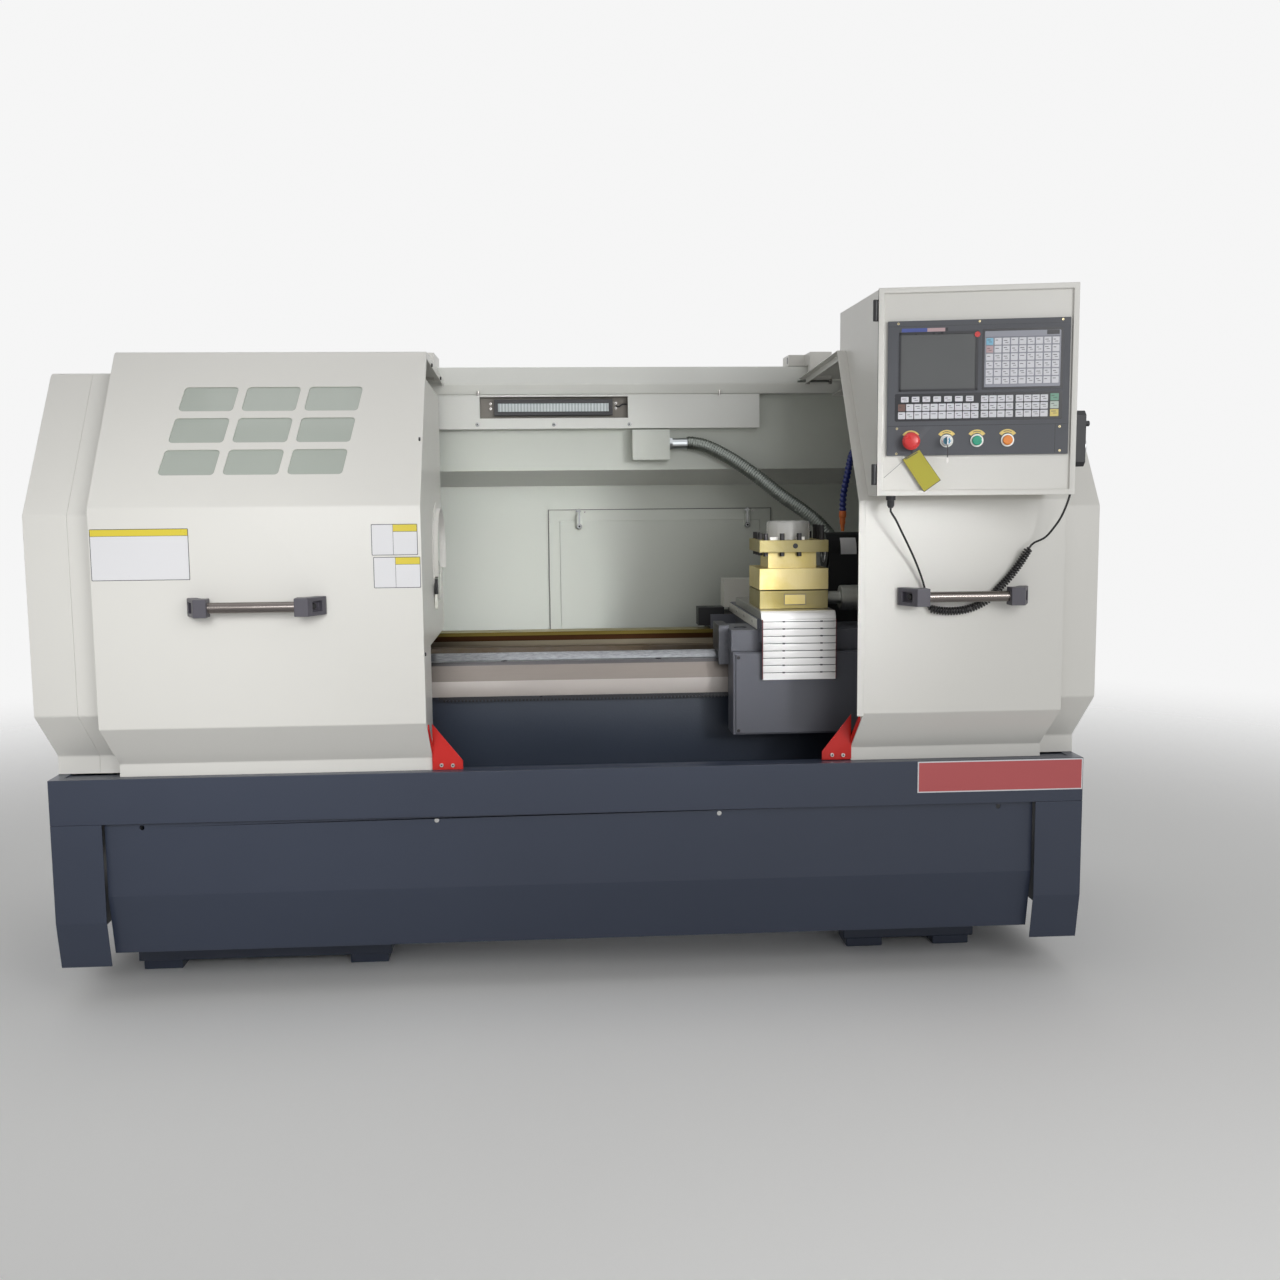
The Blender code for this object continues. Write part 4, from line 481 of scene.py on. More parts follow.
def softenEdges(piece, width):
    edge = piece.modifiers.new("softEdge", "BEVEL")
    edge.width = width
    edge.segments = 2
    edge.limit_method = "ANGLE"
    edge.angle_limit = sharpAngle
    edge.harden_normals = True


def makePiece(name, mesh, used, body):
    made = newObject(name, mesh)
    for finish in used:
        mesh.materials.append(finishes[finish])
    mesh.shade_smooth()
    mesh.set_sharp_from_angle(angle=sharpAngle)
    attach(made, body)
    return made


# Folds are the long edges along x between two faces at a moderate angle, in radians
foldRule = {"shortest": 0.09, "alongX": 0.999, "flattest": 0.25, "steepest": 1.3, "segments": 3}


def isFold(edge):
    if len(edge.link_faces) != 2 or edge.calc_length() <= foldRule["shortest"]:
        return False
    way = (edge.verts[0].co - edge.verts[1].co).normalized()
    turn = edge.calc_face_angle()
    return abs(way.x) > foldRule["alongX"] and foldRule["flattest"] < turn < foldRule["steepest"]


def softCopy(node, finish, width, fold=0.0):
    # a merged copy of a solid whose long folds and hard edges are rounded
    first, *rest = node.split("_")
    name = first + "".join(word.capitalize() for word in rest)
    work = bmesh.new()
    work.from_mesh(nodes[node].data)
    bmesh.ops.remove_doubles(work, verts=work.verts, dist=1e-5)
    bmesh.ops.dissolve_limit(work, angle_limit=math.radians(0.5), verts=work.verts, edges=work.edges)
    if fold:
        folds = [edge for edge in work.edges if isFold(edge)]
        bmesh.ops.bevel(work, geom=folds, offset=fold, segments=foldRule["segments"], profile=0.5,
                        affect="EDGES", clamp_overlap=True)
    mesh = bpy.data.meshes.new(name)
    work.to_mesh(mesh)
    work.free()
    mesh.materials.clear()
    made = makePiece(name, mesh, [finish], nodes[node]["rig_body"])
    if width:
        softenEdges(made, width)
    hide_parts(node)
    return made


# The curly cord from the console to the pulse unit
cordWay = {
    "route": [
        (0.7335, -0.140, 0.6317), (0.7335, -0.140, 0.624), (0.7475, -0.137, 0.603),
        (0.7625, -0.131, 0.576), (0.781, -0.122, 0.544), (0.801, -0.112, 0.507),
        (0.819, -0.102, 0.4685), (0.829, -0.0975, 0.440), (0.8345, -0.0968, 0.412),
        (0.8405, -0.0968, 0.393), (0.8727, -0.0968, 0.385), (0.9153, -0.0968, 0.385),
        (0.952, -0.0968, 0.394), (0.985, -0.0968, 0.412), (1.013, -0.0968, 0.4407),
        (1.037, -0.0985, 0.467), (1.060, -0.103, 0.5005), (1.077, -0.111, 0.5336),
        (1.086, -0.116, 0.5455), (1.1071, -0.130, 0.5585), (1.1219, -0.145, 0.5814),
        (1.1343, -0.163, 0.6115), (1.1454, -0.178, 0.6577), (1.1485, -0.180, 0.700),
        (1.1485, -0.180, 0.7227)],
    "coilFirst": 9, "coilLast": 17, "thick": 0.0052, "coilRadius": 0.0076, "turns": 46, "perTurn": 14,
}


def curveThrough(points, step):
    # a Catmull-Rom curve through the points, resampled at even steps along its length
    pts = np.asarray(points, float)
    pts = np.vstack([2 * pts[0] - pts[1], pts, 2 * pts[-1] - pts[-2]])
    t = np.linspace(0, 1, 40, endpoint=False)[None, :, None]
    a, b, c, d = (pts[i:len(pts) - 3 + i][:, None, :] for i in range(4))
    fine = 0.5 * (2 * b + (c - a) * t + (2 * a - 5 * b + 4 * c - d) * t**2 + (3 * b - a - 3 * c + d) * t**3)
    fine = np.vstack([fine.reshape(-1, 3), pts[-2]])
    along = np.concatenate([[0], np.cumsum(np.linalg.norm(np.diff(fine, axis=0), axis=1))])
    even = np.linspace(0, along[-1], max(2, int(round(along[-1] / step)) + 1))
    return np.stack([np.interp(even, along, fine[:, k]) for k in range(3)], -1)


def framesAlong(points):
    # tangent, side and up vectors carried along a path without twist
    tangent = np.gradient(points, axis=0)
    tangent /= np.linalg.norm(tangent, axis=1, keepdims=True)
    side = np.empty_like(tangent)
    first = np.array([0.0, 0.0, 1.0]) if abs(tangent[0, 2]) < 0.9 else np.array([0.0, 1.0, 0.0])
    side[0] = np.cross(tangent[0], first)
    side[0] /= np.linalg.norm(side[0])
    for i in range(1, len(points)):
        moved = side[i - 1] - tangent[i] * (side[i - 1] @ tangent[i])
        side[i] = moved / np.linalg.norm(moved)
    return tangent, side, np.cross(tangent, side)


def tubePart(finish, points, radius, sides=16):
    # rings of the given radius, or radii, about the path
    _, side, up = framesAlong(points)
    turn = np.linspace(0, 2 * np.pi, sides, endpoint=False)
    ring = np.cos(turn)[None, :, None] * side[:, None] + np.sin(turn)[None, :, None] * up[:, None]
    radius = np.broadcast_to(np.asarray(radius, float), len(points))
    grid = points[:, None] + ring * radius[:, None, None]
    return finish, grid.reshape(-1, 3), ringFaces(len(points), sides)


def coilPath(route, first, last, radius, turns, perTurn):
    # the straight ends follow the route; between them the path winds round it, its radius easing in and out
    whole = curveThrough(route, 0.002)
    marks = [int(np.argmin(np.linalg.norm(whole - np.asarray(route[i]), axis=1))) for i in (first, last)]
    middle = whole[marks[0]:marks[1] + 1]
    count = turns * perTurn + 1
    pick = np.linspace(0, len(middle) - 1, count)
    core = np.stack([np.interp(pick, np.arange(len(middle)), middle[:, k]) for k in range(3)], -1)
    _, side, up = framesAlong(core)
    turn = np.linspace(0, 2 * np.pi * turns, count)[:, None]
    ease = np.clip(np.minimum(np.arange(count), np.arange(count)[::-1]) / (perTurn * 0.8), 0, 1)[:, None]
    wound = core + radius * ease * (np.cos(turn) * side + np.sin(turn) * up)
    return np.vstack([whole[:marks[0]:4], wound, whole[marks[1] + 4::4], whole[-1:]])


def makeCord():
    way = cordWay
    winding = way["coilFirst"], way["coilLast"], way["coilRadius"], way["turns"], way["perTurn"]
    path = onFloor(coilPath(way["route"], *winding))
    finish, points, faces = tubePart("cordRubber", path, way["thick"] / 2, 10)
    mesh = bpy.data.meshes.new("curlyCord")
    mesh.from_pydata(points.tolist(), [], faces)
    cord = makePiece("curlyCord", outward(mesh), [finish], "right_door")
    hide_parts("cord_lead", "cord_coil", "cord_tail")


makeCord()

# Sheet metal and castings are rounded copies of the solids: a finish, the edges' radius and the folds' radius
roundings = [
    ("chip_tray", "baseSlate", 0.0012), ("front_cover", "baseSlate", 0.001, 0.006),
    ("left_end_cover right_end_cover", "baseSlate", 0.001, 0.005),
    ("left_pedestal right_pedestal", "baseSlate", 0.004),
    ("left_end_guard headstock_cover right_end_guard", "guardWhite", 0.001, 0.006),
    # the top beam takes a lighter copy of the guard white: painted light
    ("top_beam", "beamGrey", 0.0015, 0.004), ("rear_guard", "guardInside", 0.001, 0.004),
    ("access_panel", "guardInside", 0.001), ("junction_box", "guardInside", 0.0015),
    ("electrical_cabinet", "guardWhite", 0.0015), ("cabinet_door", "guardWhite", 0.002),
    ("left_door right_door", "guardWhite", 0.0008, 0.011), ("left_handle right_handle", "gripGrey", 0.0015),
    ("left_bracket right_bracket", "plateRed", 0.0006), ("control_box control_door", "guardWhite", 0.002),
    ("control_panel", "panelCharcoal", 0.0006), ("pulse_generator", "plasticBlack", 0.0015),
    ("bed", "bedSlate", 0.0008), ("rack", "frameBlack", 0.0), ("headstock", "apronGrey", 0.004),
    ("spindle chuck_body", "turnedSteel", 0.001), ("chuck_guard", "guardWhite", 0.0006),
    ("chuck_jaw_1 chuck_jaw_2 chuck_jaw_3", "groundSteel", 0.0008), ("saddle", "apronGrey", 0.0025),
    ("apron", "apronGrey", 0.0015), ("slat_cover", "slatAlloy", 0.0004),
    ("cross_slide", "groundSteel", 0.0012), ("turret_base", "oiledBase", 0.0015),
    ("turret_head", "oiledTurret", 0.0012), ("tailstock", "castBlack", 0.003),
    ("tailstock_quill tailstock_handwheel", "turnedSteel", 0.0008),
    ("lamp_housing", "plasticBlack", 0.0008), ("cord_gland", "plasticBlack", 0.0005),
    ("stop_button", "stopRed", 0.0008), ("key_switch", "turnedSteel", 0.0004),
    ("green_button", "lensGreen", 0.0004), ("orange_button", "lensOrange", 0.0004),
    ("pulse_dial", "turnedSteel", 0.0008)]
pieces = {node: softCopy(node, *settings) for names, *settings in roundings for node in names.split()}
for node, finish in (("screen", "screenGlass"), ("left_window", "windowGlass"), ("lamp_lens", "lampStripes")):
    nodes[node].data.materials.clear()
    nodes[node].data.materials.append(finishes[finish])
print("rounded copies made:", len(pieces))


def reshape(node, rule):
    # the rule gives new tray places for a rounded copy's points
    mesh = pieces[node].data
    points = np.empty(len(mesh.vertices) * 3)
    mesh.vertices.foreach_get("co", points)
    moved = onFloor(rule(points.reshape(-1, 3) - onFloor((0, 0, 0))))
    mesh.vertices.foreach_set("co", moved.ravel())
    outward(mesh)


# The handles' arms are a little shorter and their tubes longer than the solids': x places before and after
handleArms = {"left_handle": [(-0.886, -0.893), (-0.823, -0.843), (-0.6508, -0.6496), (-0.574, -0.579)],
              "right_handle": [(0.756, 0.7665), (0.8415, 0.8437), (1.0166, 1.0424), (1.068, 1.0815)]}
for node, places in handleArms.items():
    before, after = np.array(places).T
    reshape(node, lambda p: np.column_stack([np.interp(p[:, 0], before, after), p[:, 1:]]))

# The pulse unit is thicker on the photograph: its case widens from the console's side, its dial moves out
pulseCase = {"inner": 1.1243, "outer": 1.1484, "grow": 1.7, "dialInset": 0.01}


def widenCase(p):
    x = p[:, 0]
    out = (pulseCase["outer"] - pulseCase["inner"]) * (pulseCase["grow"] - 1)
    wide = pulseCase["inner"] + (x - pulseCase["inner"]) * pulseCase["grow"]
    return np.column_stack([np.where(x < pulseCase["outer"], wide, x + out), p[:, 1:]])


dialInset = np.array([pulseCase["dialInset"], 0, 0])
reshape("pulse_generator", widenCase)
reshape("pulse_dial", lambda p: widenCase(p + dialInset) - dialInset)

# The panel's own keys go back to its face, where keys of their measured sizes stand instead
keyBase = {"proud": 0.0003, "collarTop": 0.82}


def pressFlat(p):
    _, out = alongConsole(p[:, 0], p[:, 1])
    back = np.where((out > keyBase["proud"]) & (p[:, 2] > keyBase["collarTop"]), out, 0.0)
    turn = math.radians(consolePlace["yaw"])
    return p + back[:, None] * np.array([math.sin(turn), math.cos(turn), 0.0])


reshape("control_panel", pressFlat)

# Finishes that change from face to face on one solid, by where the face is and which way it looks
turretAxis = (0.5724, 0.310)
turretEdge = 0.0645
bedMarks = {"wayFoot": 0.205, "wayFront": 0.31, "farWall": 0.60, "slope": (0.185, 0.224),
            "scrapedFoot": 0.2315, "scrapedBack": 0.341, "rebate": (0.2225, 0.2315), "rebateBack": 0.292,
            "lip": (0.140, 0.186), "lipBack": 0.2705, "railFront": 0.645, "railTop": 0.2715}
beamRecess = {"x": (-0.259, 0.173), "y": (0.7205, 0.747), "z": (0.888, 0.951)}


def between(values, low, high):
    return (values > low) & (values < high)


def tint(node, *rules):
    # faces get another finish where a rule on their middles x, y, z and normals n holds; later rules win
    mesh = pieces[node].data
    count = len(mesh.polygons)
    middle, normal = np.empty(count * 3), np.empty(count * 3)
    mesh.polygons.foreach_get("center", middle)
    mesh.polygons.foreach_get("normal", normal)
    x, y, z = (middle.reshape(-1, 3) - onFloor((0, 0, 0))).T
    slots = np.zeros(count, int)
    for finish, rule in rules:
        held = np.asarray(rule(x, y, z, normal.reshape(-1, 3).T))
        if held.any():
            mesh.materials.append(finishes[finish])
            slots[held] = len(mesh.materials) - 1
    mesh.polygons.foreach_set("material_index", slots)


def near(values, place):
    return abs(values - place) < 0.001


def besideTurret(x, y):
    return np.maximum(abs(x - turretAxis[0]), abs(y - turretAxis[1])) > turretEdge


b = bedMarks
tint("bed",
     ("oiledWay", lambda x, y, z, n: ((z > b["wayFoot"]) & (y > b["wayFront"]))
      | (near(y, b["farWall"]) & (n[1] < -0.5))),
     ("taupeSlope", lambda x, y, z, n: (n[1] < -0.5) & between(z, *b["slope"])),
     ("scrapedSilver", lambda x, y, z, n: (z > b["scrapedFoot"]) & (y < b["scrapedBack"])),
     ("blackSteel", lambda x, y, z, n: between(z, *b["rebate"]) & (y < b["rebateBack"])),
     ("creamLip", lambda x, y, z, n: (y < b["lipBack"]) & between(z, *b["lip"])),
     ("railBands", lambda x, y, z, n: near(y, b["railFront"]) & (n[1] < -0.9)),
     ("oiledRail", lambda x, y, z, n: (z > b["railTop"]) & (n[2] > 0.9)))
tint("saddle",
     ("castBlack", lambda x, y, z, n: between(y, 0.645, 0.712) & (x < 0.45) & (z > 0.28)),
     ("wiperGrey", lambda x, y, z, n: (x < 0.4035) & (y < 0.40)),
     ("guideCream", lambda x, y, z, n: between(x, 0.468, 0.473) & (z > 0.31) & (n[0] < -0.9)),
     ("guideCream", lambda x, y, z, n: (y > 0.715) & (x > 0.45) & (z > 0.3465)))
tint("cross_slide", ("slatAlloy", lambda x, y, z, n: y < 0.19))
tint("turret_base", ("motorGrey", lambda x, y, z, n: x > 0.6635))
tint("turret_head",
     ("oiledBase", lambda x, y, z, n: between(z, 0.5141, 0.5455)),
     ("blackSteel", lambda x, y, z, n: (z > 0.5455) | (between(z, 0.495, 0.5139) & besideTurret(x, y))))
# the rear guard's downward faces at its step get a lighter white: painted light
tint("rear_guard", ("beamGrey", lambda x, y, z, n: (n[2] < -0.9) & between(z, 0.69, 0.745)))
tint("junction_box", ("platedZinc", lambda x, y, z, n: x > 0.2931))
tint("control_door", ("plasticBlack", lambda x, y, z, n: abs(alongConsole(x, y)[0] + 0.006) < 0.0066))
tint("control_panel", ("motorGrey", lambda x, y, z, n: (alongConsole(x, y)[1] > keyBase["proud"])
                       & (z < keyBase["collarTop"])))
for node, middle in (("left_handle", -0.739), ("right_handle", 0.926)):
    tint(node, ("tubeSteel", lambda x, y, z, n: abs(x - middle) < 0.02))
# the beam's downward-looking foot gets a brighter white: painted light
tint("top_beam",
     ("beamFoot", lambda x, y, z, n: (n[2] < -0.2) & (n[1] < -0.4) & between(z, 0.95, 0.99)),
     ("recessBrown", lambda x, y, z, n: between(x, *beamRecess["x"]) & between(y, *beamRecess["y"])
      & between(z, *beamRecess["z"])))
tint("tailstock_quill", ("frameBlack", lambda x, y, z, n: np.hypot(y - 0.52, z - 0.5) < 0.0095))
print("face finishes set")

# Bare label fields, edged in black, with a yellow band along the top
doorFace = onFront(-0.0975)


def labelField(u0, u1, v0, v1, band, split=0.0):
    edge, line = 0.0015, 0.0009
    start = u0 + edge + split * (u1 - u0)
    rows = [("keyMark", (u0, u1, v0, v1, 0.002), -0.0002, 0.0003),
            ("labelWhite", (u0 + edge, u1 - edge, v0 + edge, v1 - edge, 0.0015), 0, 0.00045),
            ("labelYellow", (start, u1 - edge, v1 - band, v1 - edge), 0, 0.0006),
            ("keyMark", (start, u1 - edge, v1 - band - line, v1 - band), 0, 0.0006)]
    if split:
        rows.append(("keyMark", (start - line, start, v0 + edge, v1 - edge), 0, 0.0006))
    return plates(doorFace, rows)


joinParts("doorLabels", labelField(-1.107, -0.886, 0.483, 0.601, 0.016)
          + labelField(-0.472, -0.366, 0.534, 0.606, 0.017, 0.46)
          + labelField(-0.469, -0.361, 0.458, 0.530, 0.017, 0.46), "left_door")
joinParts("basePlate", plates(onFront(0.0), [
    ("labelWhite", (0.846, 1.268, -0.0805, -0.0015), -0.0002, 0.0012),
    ("plateDull", (0.849, 1.265, -0.0775, -0.0045), 0, 0.0016)]), "frame")


# Small fasteners on the guards, the brackets and the beam
def underBeam(p):
    # u is x, v is y, and depth runs down from the beam's underside
    return onTop(0.966)(p * (1, 1, -1))


joinParts("doorScrews", screws([(-0.0837, 0.80), (-0.0837, 0.30), (0.30, 1.003), (0.57, 0.992)], 0.0045,
                               onSide(-0.358, 1)), "left_door")
joinParts("leftBracketScrews", screws([(-0.335, 0.012), (-0.3075, 0.011)], 0.005, onFront(0.026), 0.004,
                                      "boltSteel"), "left_door")
joinParts("rightBracketScrews", screws([(0.6377, 0.013), (0.6657, 0.012)], 0.005, onFront(0.040), 0.004,
                                       "boltSteel"), "right_door")
joinParts("beamScrews", screws([(-0.2613, 0.7075), (0.4406, 0.7075)], 0.004, underBeam, 0.012, "boltSteel")
          + screws([(-0.2656, 0.8715), (-0.0439, 0.8702), (0.1765, 0.870)], 0.0058, onFront(0.7197), 0.0022,
                   "latchSteel"), "frame")

# The work lamp: end clips with their screws, and a short cable
lampWall = onFront(0.7454)
lampParts = []
for end, way in ((-0.217, -1), (0.128, 1)):
    left, right = sorted((end, end + way * 0.018))
    lampParts += plates(lampWall, [("recessBrown", (left, right, 0.912, 0.938, 0.003), 0, 0.004)])
    lampParts += screws([(end + way * 0.010, level) for level in (0.918, 0.932)], 0.004, lampWall, 0.008,
                        "boltSteel")
lampParts += plates(lampWall, [("frameBlack", (-0.214, 0.125, 0.8985, 0.9020), 0.0180, 0.0206)])
joinParts("lampClips", lampParts, "frame", 0.0006)
lampLead = [(0.138, 0.738, 0.925), (0.146, 0.730, 0.921), (0.156, 0.733, 0.928), (0.168, 0.738, 0.929),
            (0.1715, 0.744, 0.929)]
joinParts("lampCable", [tubePart("plasticBlack", curveThrough(lampLead, 0.002), 0.002, 8)], "frame")

# Service panel: a raised seam, and two hooked draw latches with round knobs
panelWall, panelFace = onFront(0.9297), onFront(0.9457)
knobProfile = [(-0.006, 0.0085), (0.004, 0.0085), (0.006, 0.0065)]
latchParts = []
for spot in (0.030, 0.555):
    knob = (spot, 0.568)
    latchParts += plates(panelWall, [
        ("latchSteel", (spot - 0.003, spot + 0.003, 0.572, 0.622, 0.001), -0.001, 0.004),
        ("latchSteel", (spot - 0.010, spot + 0.005, 0.6125, 0.6175, 0.001), 0.0, 0.005)])
    # the black disc in each knob's middle is painted shade of its hole
    latchParts += [lathed("latchSteel", knob, knobProfile, panelWall, 20),
                   lathed("holeShadeBlack", knob, [(0.0058, 0.0035), (0.0064, 0.0035)], panelWall, 12)]
    latchParts += screws([(spot + 0.018, 0.612)], 0.003, panelFace, 0.002, "boltSteel")
joinParts("panelLatches", latchParts, "frame", 0.0004)
seamBars = [(-0.0662, 0.6322, 0.618, 0.6202), (-0.0662, 0.6322, 0.1378, 0.140),
            (-0.0662, -0.064, 0.140, 0.618), (0.630, 0.6322, 0.140, 0.618)]
joinParts("panelSeam", plates(panelFace, [("seamGrey", bar, -0.0043, 0.0004) for bar in seamBars]), "frame")
print("fasteners and labels made")

# A hinge block and its pale foot at the lower front of the chuck's guard ring
joinParts("guardHinge", plates(onSide(-0.3717, 1), [
    ("blackSteel", (0.385, 0.406, 0.405, 0.445, 0.002), -0.001, 0.0080),
    ("guideCream", (0.387, 0.404, 0.366, 0.405, 0.002), -0.001, 0.0070)]), "frame", 0.0006)

# The armoured conduit: its ribs are a cosine's size along it, and its shares are of its run and drop
conduitWay = {
    "start": 0.347, "end": 0.832, "level": 0.8135, "drop": 0.4985, "radius": 0.0182, "rib": 0.0022,
    "pitch": 0.0072, "perRib": 5,
    "shares": [(0.0, 0.735, 0.0), (0.037, 0.735, 0.0), (0.130, 0.731, 0.023), (0.274, 0.722, 0.097),
               (0.419, 0.710, 0.196), (0.563, 0.700, 0.308), (0.707, 0.690, 0.408), (0.819, 0.684, 0.5045),
               (0.924, 0.680, 0.649), (0.988, 0.686, 0.809), (1.0, 0.690, 0.940), (1.0, 0.690, 1.0)],
}


def makeConduit():
    w = conduitWay
    run = w["end"] - w["start"]
    route = [(w["start"] + a * run, y, w["level"] - b * w["drop"]) for a, y, b in w["shares"]]
    path = curveThrough(route, w["pitch"] / w["perRib"])
    along = np.arange(len(path)) / w["perRib"]
    radius = w["radius"] + w["rib"] * np.abs(np.cos(np.pi * along))
    conduit = joinParts("armouredConduit", [tubePart("armourGrey", path, radius, 20)], "frame")
    conduit.parent = None
    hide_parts("conduit")
    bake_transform(conduit)


makeConduit()

# Coolant hose: ball segments, each a half sine of the length, then an orange nozzle of shares and radii
hoseWay = {
    "foot": (0.872, 0.315), "segment": 0.013, "perBall": 6, "low": 0.0068, "swell": 0.0032, "nozzle": 0.058,
    "way": [(0.0, 0.722, 0.0), (0.002, 0.718, 0.135), (0.002, 0.700, 0.305), (-0.010, 0.650, 0.425),
            (-0.046, 0.560, 0.485), (-0.089, 0.478, 0.460), (-0.112, 0.438, 0.400), (-0.124, 0.430, 0.345),
            (-0.126, 0.430, 0.295), (-0.126, 0.430, 0.245)],
    "tip": [(0, 0.0088), (0.08, 0.0102), (0.3, 0.0102), (0.34, 0.0082), (0.62, 0.0082), (0.66, 0.0065),
            (1, 0.0042)],
}


def makeHose():
    h = hoseWay
    x0, z0 = h["foot"]
    step = h["segment"] / h["perBall"]
    path = curveThrough([(x0 + x, y, z0 + rise) for x, y, rise in h["way"]], step)
    cut = len(path) - int(h["nozzle"] / step)
    blue = h["low"] + h["swell"] * np.abs(np.sin(np.pi * np.arange(cut) / h["perBall"]))
    shares, radii = np.array(h["tip"]).T
    tip = np.interp(np.linspace(0, 1, len(path) - cut + 1), shares, radii)
    hose = joinParts("coolantLine", [tubePart("hoseBlue", path[:cut], blue, 14),
                                     tubePart("hoseOrange", path[cut - 1:], tip, 14)], "carriage")
    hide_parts("coolant_hose")


makeHose()

# Handles: a bolt in each arm's pocket, set square to the slanting face
handleBolt = {"slope": (0.034, 0.054), "edge": 0.012, "along": 0.029, "sink": 0.012, "level": 0.421,
              "span": 0.312, "radius": 0.0075, "height": 0.007}


def armFrame(corner, side, face):
    # u runs along the arm's slanting face, v is up and depth stands out of the face
    slant = np.array(handleBolt["slope"]) / math.hypot(*handleBolt["slope"])
    out = np.array([-slant[1], slant[0]])
    foot = np.array([0.0, handleBolt["edge"]]) + slant * handleBolt["along"] - out * handleBolt["sink"]

    def place(p):
        u = foot[0] + p[:, 0] * slant[0] + p[:, 2] * out[0]
        d = foot[1] + p[:, 0] * slant[1] + p[:, 2] * out[1]
        return np.column_stack([corner + side * u, face - d, handleBolt["level"] + p[:, 1]])
    return place


for name, body, start, face in (("leftHandleBolts", "left_door", -0.893, -0.0978),
                                ("rightHandleBolts", "right_door", 0.7665, -0.0853)):
    parts = []
    for corner, side in ((start, 1), (start + handleBolt["span"], -1)):
        parts += screw((0.0, 0.0), handleBolt["radius"], armFrame(corner, side, face), handleBolt["height"])
    joinParts(name, parts, body)

# Turret: clear cap over a pale drum, bare plate and hole in the front, the hole a flat black disc of painted
# shade, tabs behind
turretFront, turretTop = onFront(0.2195), onTop(0.5451)
capProfile = [(0.0004, 0.058), (0.043, 0.0578), (0.0475, 0.055), (0.0488, 0.050), (0.0488, 0.010)]
drumProfile = [(0.0004, 0.040), (0.040, 0.040), (0.041, 0.036)]
cap = joinParts("turretCap", [lathed("capClear", turretAxis, capProfile, turretTop, 48),
                              lathed("slatAlloy", turretAxis, drumProfile, turretTop, 40)], "turret")
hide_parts("turret_cap")
joinParts("turretPlate", plates(turretFront, [
    ("recessBrown", (0.5463, 0.6044, 0.3765, 0.4055, 0.002), -0.0002, 0.0008),
    ("oiledTurret", (0.5483, 0.6024, 0.3785, 0.4035, 0.001), 0, 0.0010)]), "cross_slide")
tabs = [(0.5144 + shift, 0.5364 + shift, 0.545, 0.553) for shift in (0.0, 0.0696)]
# the black disc is painted shade of the hole
joinParts("turretBolts", [lathed("frameBlack", (0.576, 0.5305), [(-0.0006, 0.0068), (0.0003, 0.0068)],
                                 turretFront, 20)]
          + plates(onFront(0.254), [("slatAlloy", sides, 0.0, 0.003) for sides in tabs]), "turret")

# Slatted cover: a dark line and two dark notches under each slat, painted shadow of the slats' steps; a dark
# red seal down its sides
slats = {"count": 8, "top": 0.3398, "pitch": 0.0188, "sides": (0.4805, 0.6695), "notches": (0.534, 0.632)}
slatRows = []
for k in range(slats["count"]):
    level = slats["top"] - k * slats["pitch"]
    slatRows.append(("keyMark", (*slats["sides"], level - 0.0006, level + 0.0006), -0.001, 0.0018))
    for x in slats["notches"]:
        notch = (x - 0.0035, x + 0.0035, level - 0.0017, level + 0.0017, 0.0012)
        slatRows.append(("keyMark", notch, -0.001, 0.0020))
for x in (0.4795, 0.6700):
    slatRows.append(("sealRed", (x - 0.0008, x + 0.0008, 0.192, 0.345), -0.006, 0.0016))
joinParts("slatShadowLines", plates(onFront(0.1522), slatRows), "carriage")

# Apron and saddle fasteners, and bolts along the scraped strip of the bed as flat black discs of painted
# shade
joinParts("apronScrews", screws([(x, z) for x in (0.419, 0.876) for z in (0.247, 0.0565)], 0.0045,
                                onFront(0.165), 0.002), "carriage")
plugProfile = [(-0.0005, 0.017), (0.002, 0.017), (0.002, 0.013), (0.0012, 0.013)]
joinParts("saddlePlug", [lathed("wiperGrey", (0.437, 0.262), plugProfile, onTop(0.315), 28)], "carriage")
joinParts("guideScrews", screws([(y, 0.332) for y in (0.27, 0.42, 0.57)], 0.005, onSide(0.4705, -1), 0.0012,
                                "boltSteel"), "carriage")
boltProfile = [(-0.0005, 0.0085), (0.00015, 0.0085)]
joinParts("bedBolts", [lathed("holeShadeBlack", (x, 0.302), boltProfile, onTop(0.232), 24)
                       for x in (-0.187, 0.223)], "frame")

# Tailstock: a bare label that follows the barrel's curve, drawn across and run along x
turn = np.radians(np.linspace(-8, 47, 10))
outer, inner = (np.array([0.52, 0.5]) + radius * np.column_stack([-np.cos(turn), np.sin(turn)])
                for radius in (0.0553, 0.0546))
loop = np.concatenate([outer, inner[::-1]])
joinParts("tailstockLabel", [slab("labelWhite", loop, 0.7496, 0.7938, onSide(0.0, 1))], "tailstock")

# Console: frames round the key blocks and screen, marks on the keys, rings, fields and tag
# A key block's first place, count, pitch and key size across, then the same upward
keyBlocks = {
    "data": (0.2386, 9, 0.01794, 0.0150, 0.9082, 6, 0.0173, 0.0148),
    "modes": (0.0522, 7, 0.02398, 0.0169, 0.8710, 1, 0.0, 0.0121),
    "axes": (0.0460, 10, 0.0180, 0.0160, 0.8333, 2, 0.0178, 0.0155),
    "tools": (0.2294, 4, 0.01807, 0.0160, 0.8345, 3, 0.0170, 0.0146),
    "rates": (0.3054, 4, 0.01793, 0.0160, 0.8345, 3, 0.0170, 0.0146),
    "cycle": (0.3803, 1, 0.0, 0.0182, 0.8346, 3, 0.01745, 0.0158),
}
keyColours = {("data", 0, 5): "keyBlue", ("data", 0, 4): "keyRose", ("axes", 0, 1): "keyBrown",
              ("cycle", 0, 2): "keyGreen", ("cycle", 0, 1): "keyPale", ("cycle", 0, 0): "keyYellow"}
